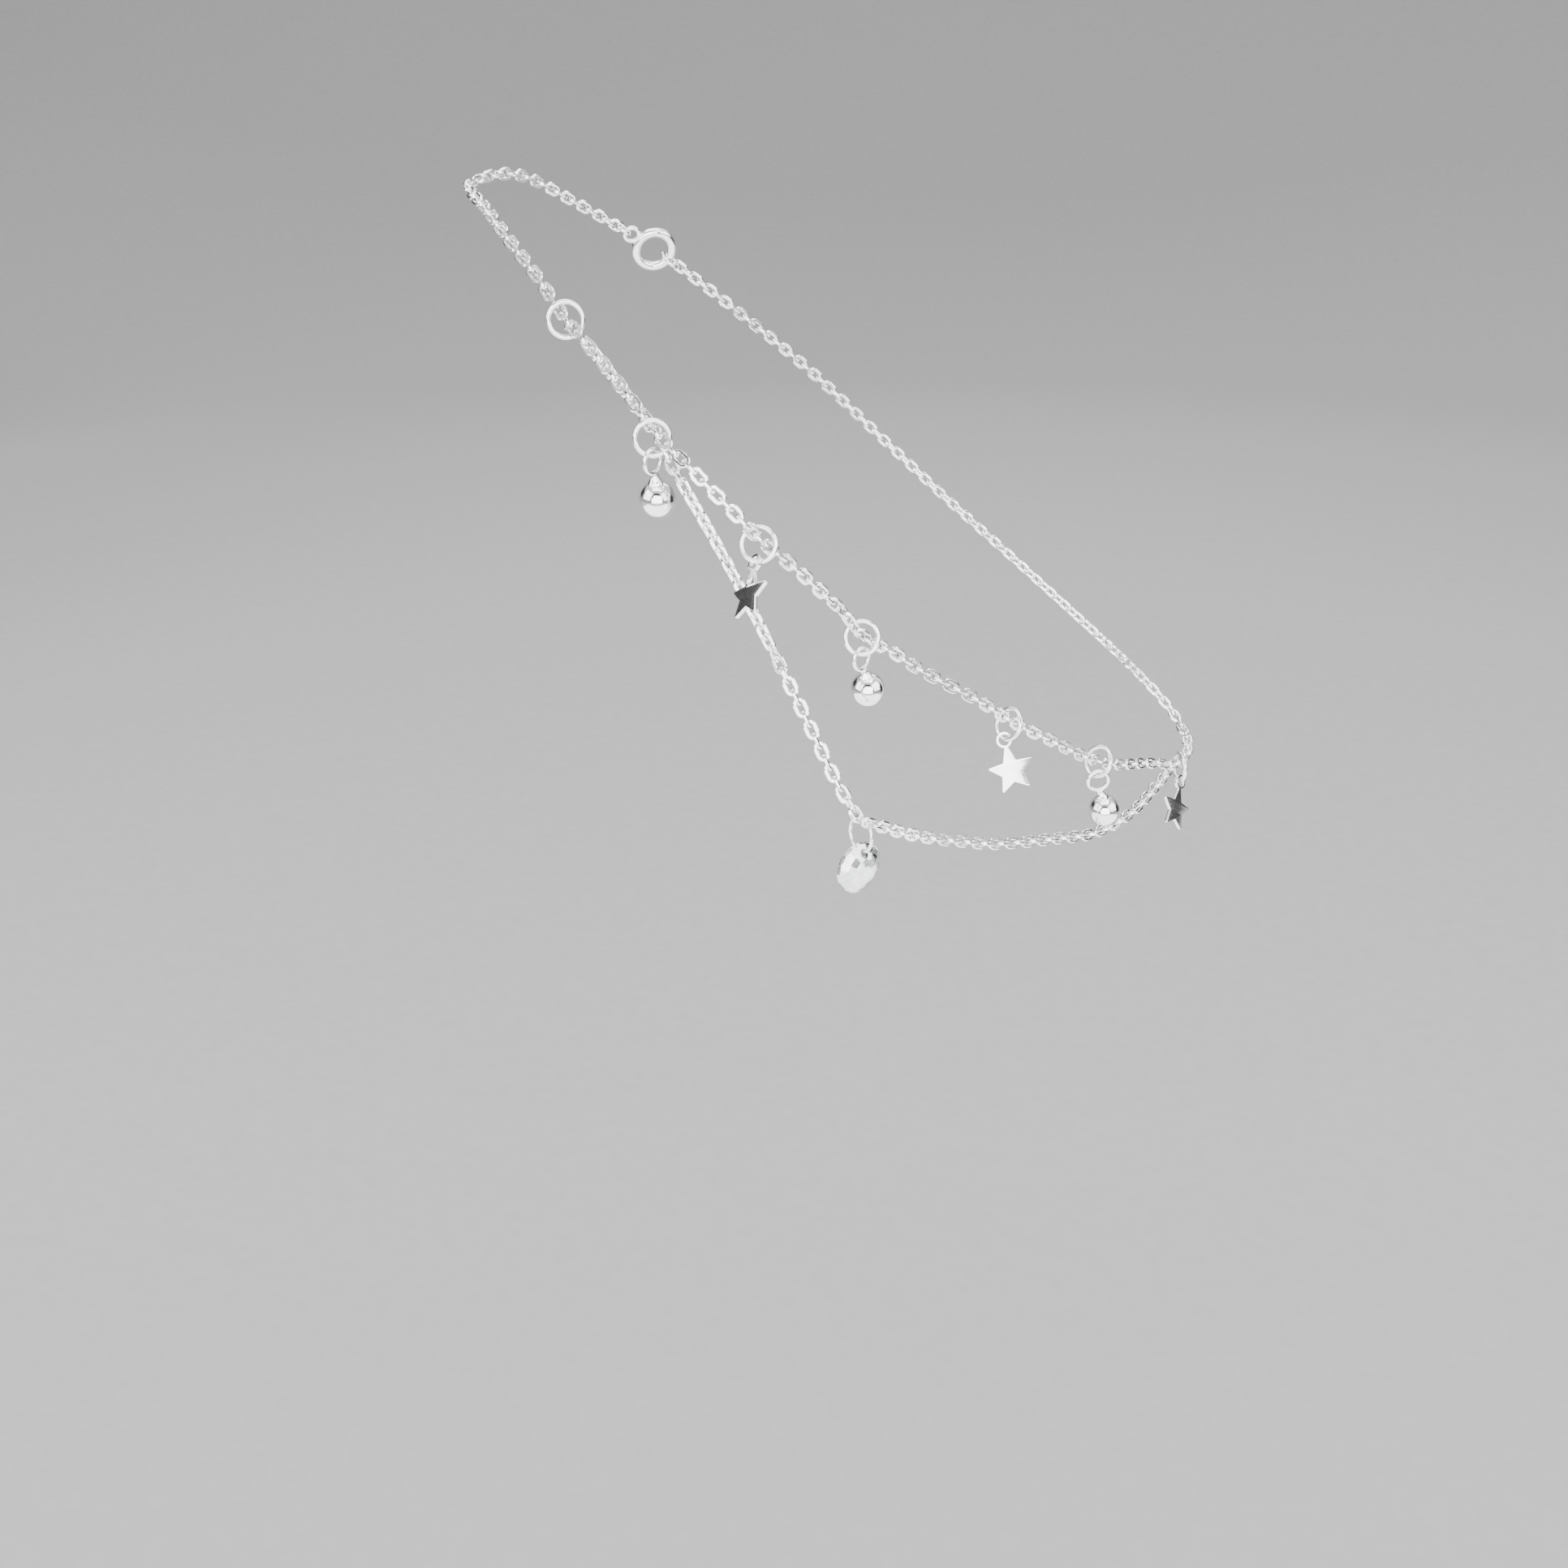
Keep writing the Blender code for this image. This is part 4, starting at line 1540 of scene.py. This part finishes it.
@dataclass(frozen=True)
class Studio:
    """Pale floor with a rising edge, soft lights and the camera."""

    floor_height: float = -112 * MM
    floor_radius: float = 1.15
    sweep_radius: float = 0.5
    wall_height: float = 0.1
    # The radius of the floor's round middle face, and the steps up its sweep and round it
    floor_middle: float = 1 * MM
    sweep_steps: int = 16
    floor_steps: int = 96
    horizon: tuple[float, float, float] = (0.5, 0.505, 0.515)
    zenith: tuple[float, float, float] = (1.2, 1.21, 1.23)
    # How high, from 0 to 1, the room's light reaches its overhead colour
    zenith_height: float = 0.7
    lights: tuple[SoftLight, ...] = (
        SoftLight("front_light", (0.02, -0.62, 0.16), (0.8, 0.5), 6.5),
        SoftLight("left_light", (-0.55, -0.25, 0.3), (0.65, 0.55), 4.0),
        SoftLight("right_light", (0.55, -0.2, 0.3), (0.65, 0.55), 4.0),
        SoftLight("top_light", (0.0, 0.0, 0.62), (0.6, 0.5), 4.5),
        SoftLight("back_light", (0.0, 0.6, 0.4), (0.6, 0.3), 3.0),
        SoftLight("low_light", (0.0, -0.02, -0.105), (0.5, 0.36), 2.6),
    )
    cards: tuple[DarkCard, ...] = (
        DarkCard("card_above", (-0.01, -0.34, 0.35), (0.3, 0.09)),
        DarkCard("card_beside", (-0.2, -0.38, 0.25), (0.08, 0.18)),
        DarkCard("card_left", (-0.42, 0.26, 0.12), (0.3, 0.22)),
        DarkCard("card_right", (0.48, 0.11, 0.0), (0.26, 0.26)),
    )
    # The camera: its place, how far it is turned and lowered, and its focal length in
    # pixels of the photograph
    eye: tuple[float, float, float] = (5.9 * MM, -182.0 * MM, 48.3 * MM)
    azimuth: float = 4.0
    elevation: float = 25.0
    focal_pixels: float = 2000.0
    sensor: float = 36.0
    nearest: float = 5 * MM
    farthest: float = 20.0

    def build(self) -> None:
        """Set up the camera, the floor, the cards and the lights."""
        self.build_camera()
        self.build_floor()
        self.build_sky()
        card = CardFinish().material()
        for item in self.cards:
            item.build(card)
        for item in self.lights:
            item.build()

    def build_camera(self) -> None:
        """Set the camera up at the photograph's angle."""
        lens = bpy.data.cameras.new("camera")
        lens.sensor_width = self.sensor
        lens.lens = self.focal_pixels / IMAGE_SIZE * self.sensor
        lens.clip_start = self.nearest
        lens.clip_end = self.farthest
        obj = bpy.data.objects.new("camera", lens)
        obj.location = self.eye
        obj.rotation_euler = (math.radians(90 - self.elevation), 0.0, math.radians(self.azimuth))
        bpy.context.scene.collection.objects.link(obj)
        bpy.context.scene.camera = obj

    def build_floor(self) -> None:
        """Lay the floor, its edge swept up into a low wall."""
        profile = [(self.floor_middle, 0.0), (self.floor_radius - self.sweep_radius, 0.0)]
        for i in range(1, self.sweep_steps + 1):
            angle = math.pi / 2 * i / self.sweep_steps
            profile.append(
                (
                    self.floor_radius - self.sweep_radius * (1 - math.sin(angle)),
                    self.sweep_radius * (1 - math.cos(angle)),
                )
            )
        profile.append((self.floor_radius, self.sweep_radius + self.wall_height))
        steps = self.floor_steps
        angles = np.arange(steps) * 2 * np.pi / steps
        corners = [
            np.stack([r * np.cos(angles), r * np.sin(angles), np.full(steps, z)], 1)
            for r, z in profile
        ]
        faces = [tuple(range(steps))]
        for i in range(len(profile) - 1):
            for j in range(steps):
                k = (j + 1) % steps
                faces.append((i * steps + j, (i + 1) * steps + j, (i + 1) * steps + k, i * steps + k))
        raw = RawMesh()
        raw.add(np.concatenate(corners) + (0.0, 0.0, self.floor_height), faces)
        floor = raw.piece("floor", CRISP_FLOOR)
        floor.data.materials.append(FloorFinish().material())

    def build_sky(self) -> None:
        """Fill the room with even, soft light."""
        world = bpy.data.worlds.new("studio")
        world.use_nodes = True
        nodes, links = world.node_tree.nodes, world.node_tree.links
        place = nodes.new("ShaderNodeTexCoord")
        split = nodes.new("ShaderNodeSeparateXYZ")
        rise = nodes.new("ShaderNodeMapRange")
        blend = nodes.new("ShaderNodeMix")
        blend.data_type = "RGBA"
        rise.inputs["From Max"].default_value = self.zenith_height
        colours = [socket for socket in blend.inputs if socket.type == "RGBA"]
        colours[0].default_value = (*self.horizon, 1.0)
        colours[1].default_value = (*self.zenith, 1.0)
        links.new(place.outputs["Generated"], split.inputs["Vector"])
        links.new(split.outputs["Z"], rise.inputs["Value"])
        links.new(rise.outputs["Result"], blend.inputs["Factor"])
        mixed = [socket for socket in blend.outputs if socket.type == "RGBA"][0]
        links.new(mixed, nodes["Background"].inputs["Color"])
        bpy.context.scene.world = world


def main() -> None:
    """Build the scene."""
    logging.basicConfig(level=logging.INFO, format="%(name)s: %(message)s")
    Studio().build()
    Anklet().build(Workshop())
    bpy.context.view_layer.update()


if __name__ == "__main__":
    main()
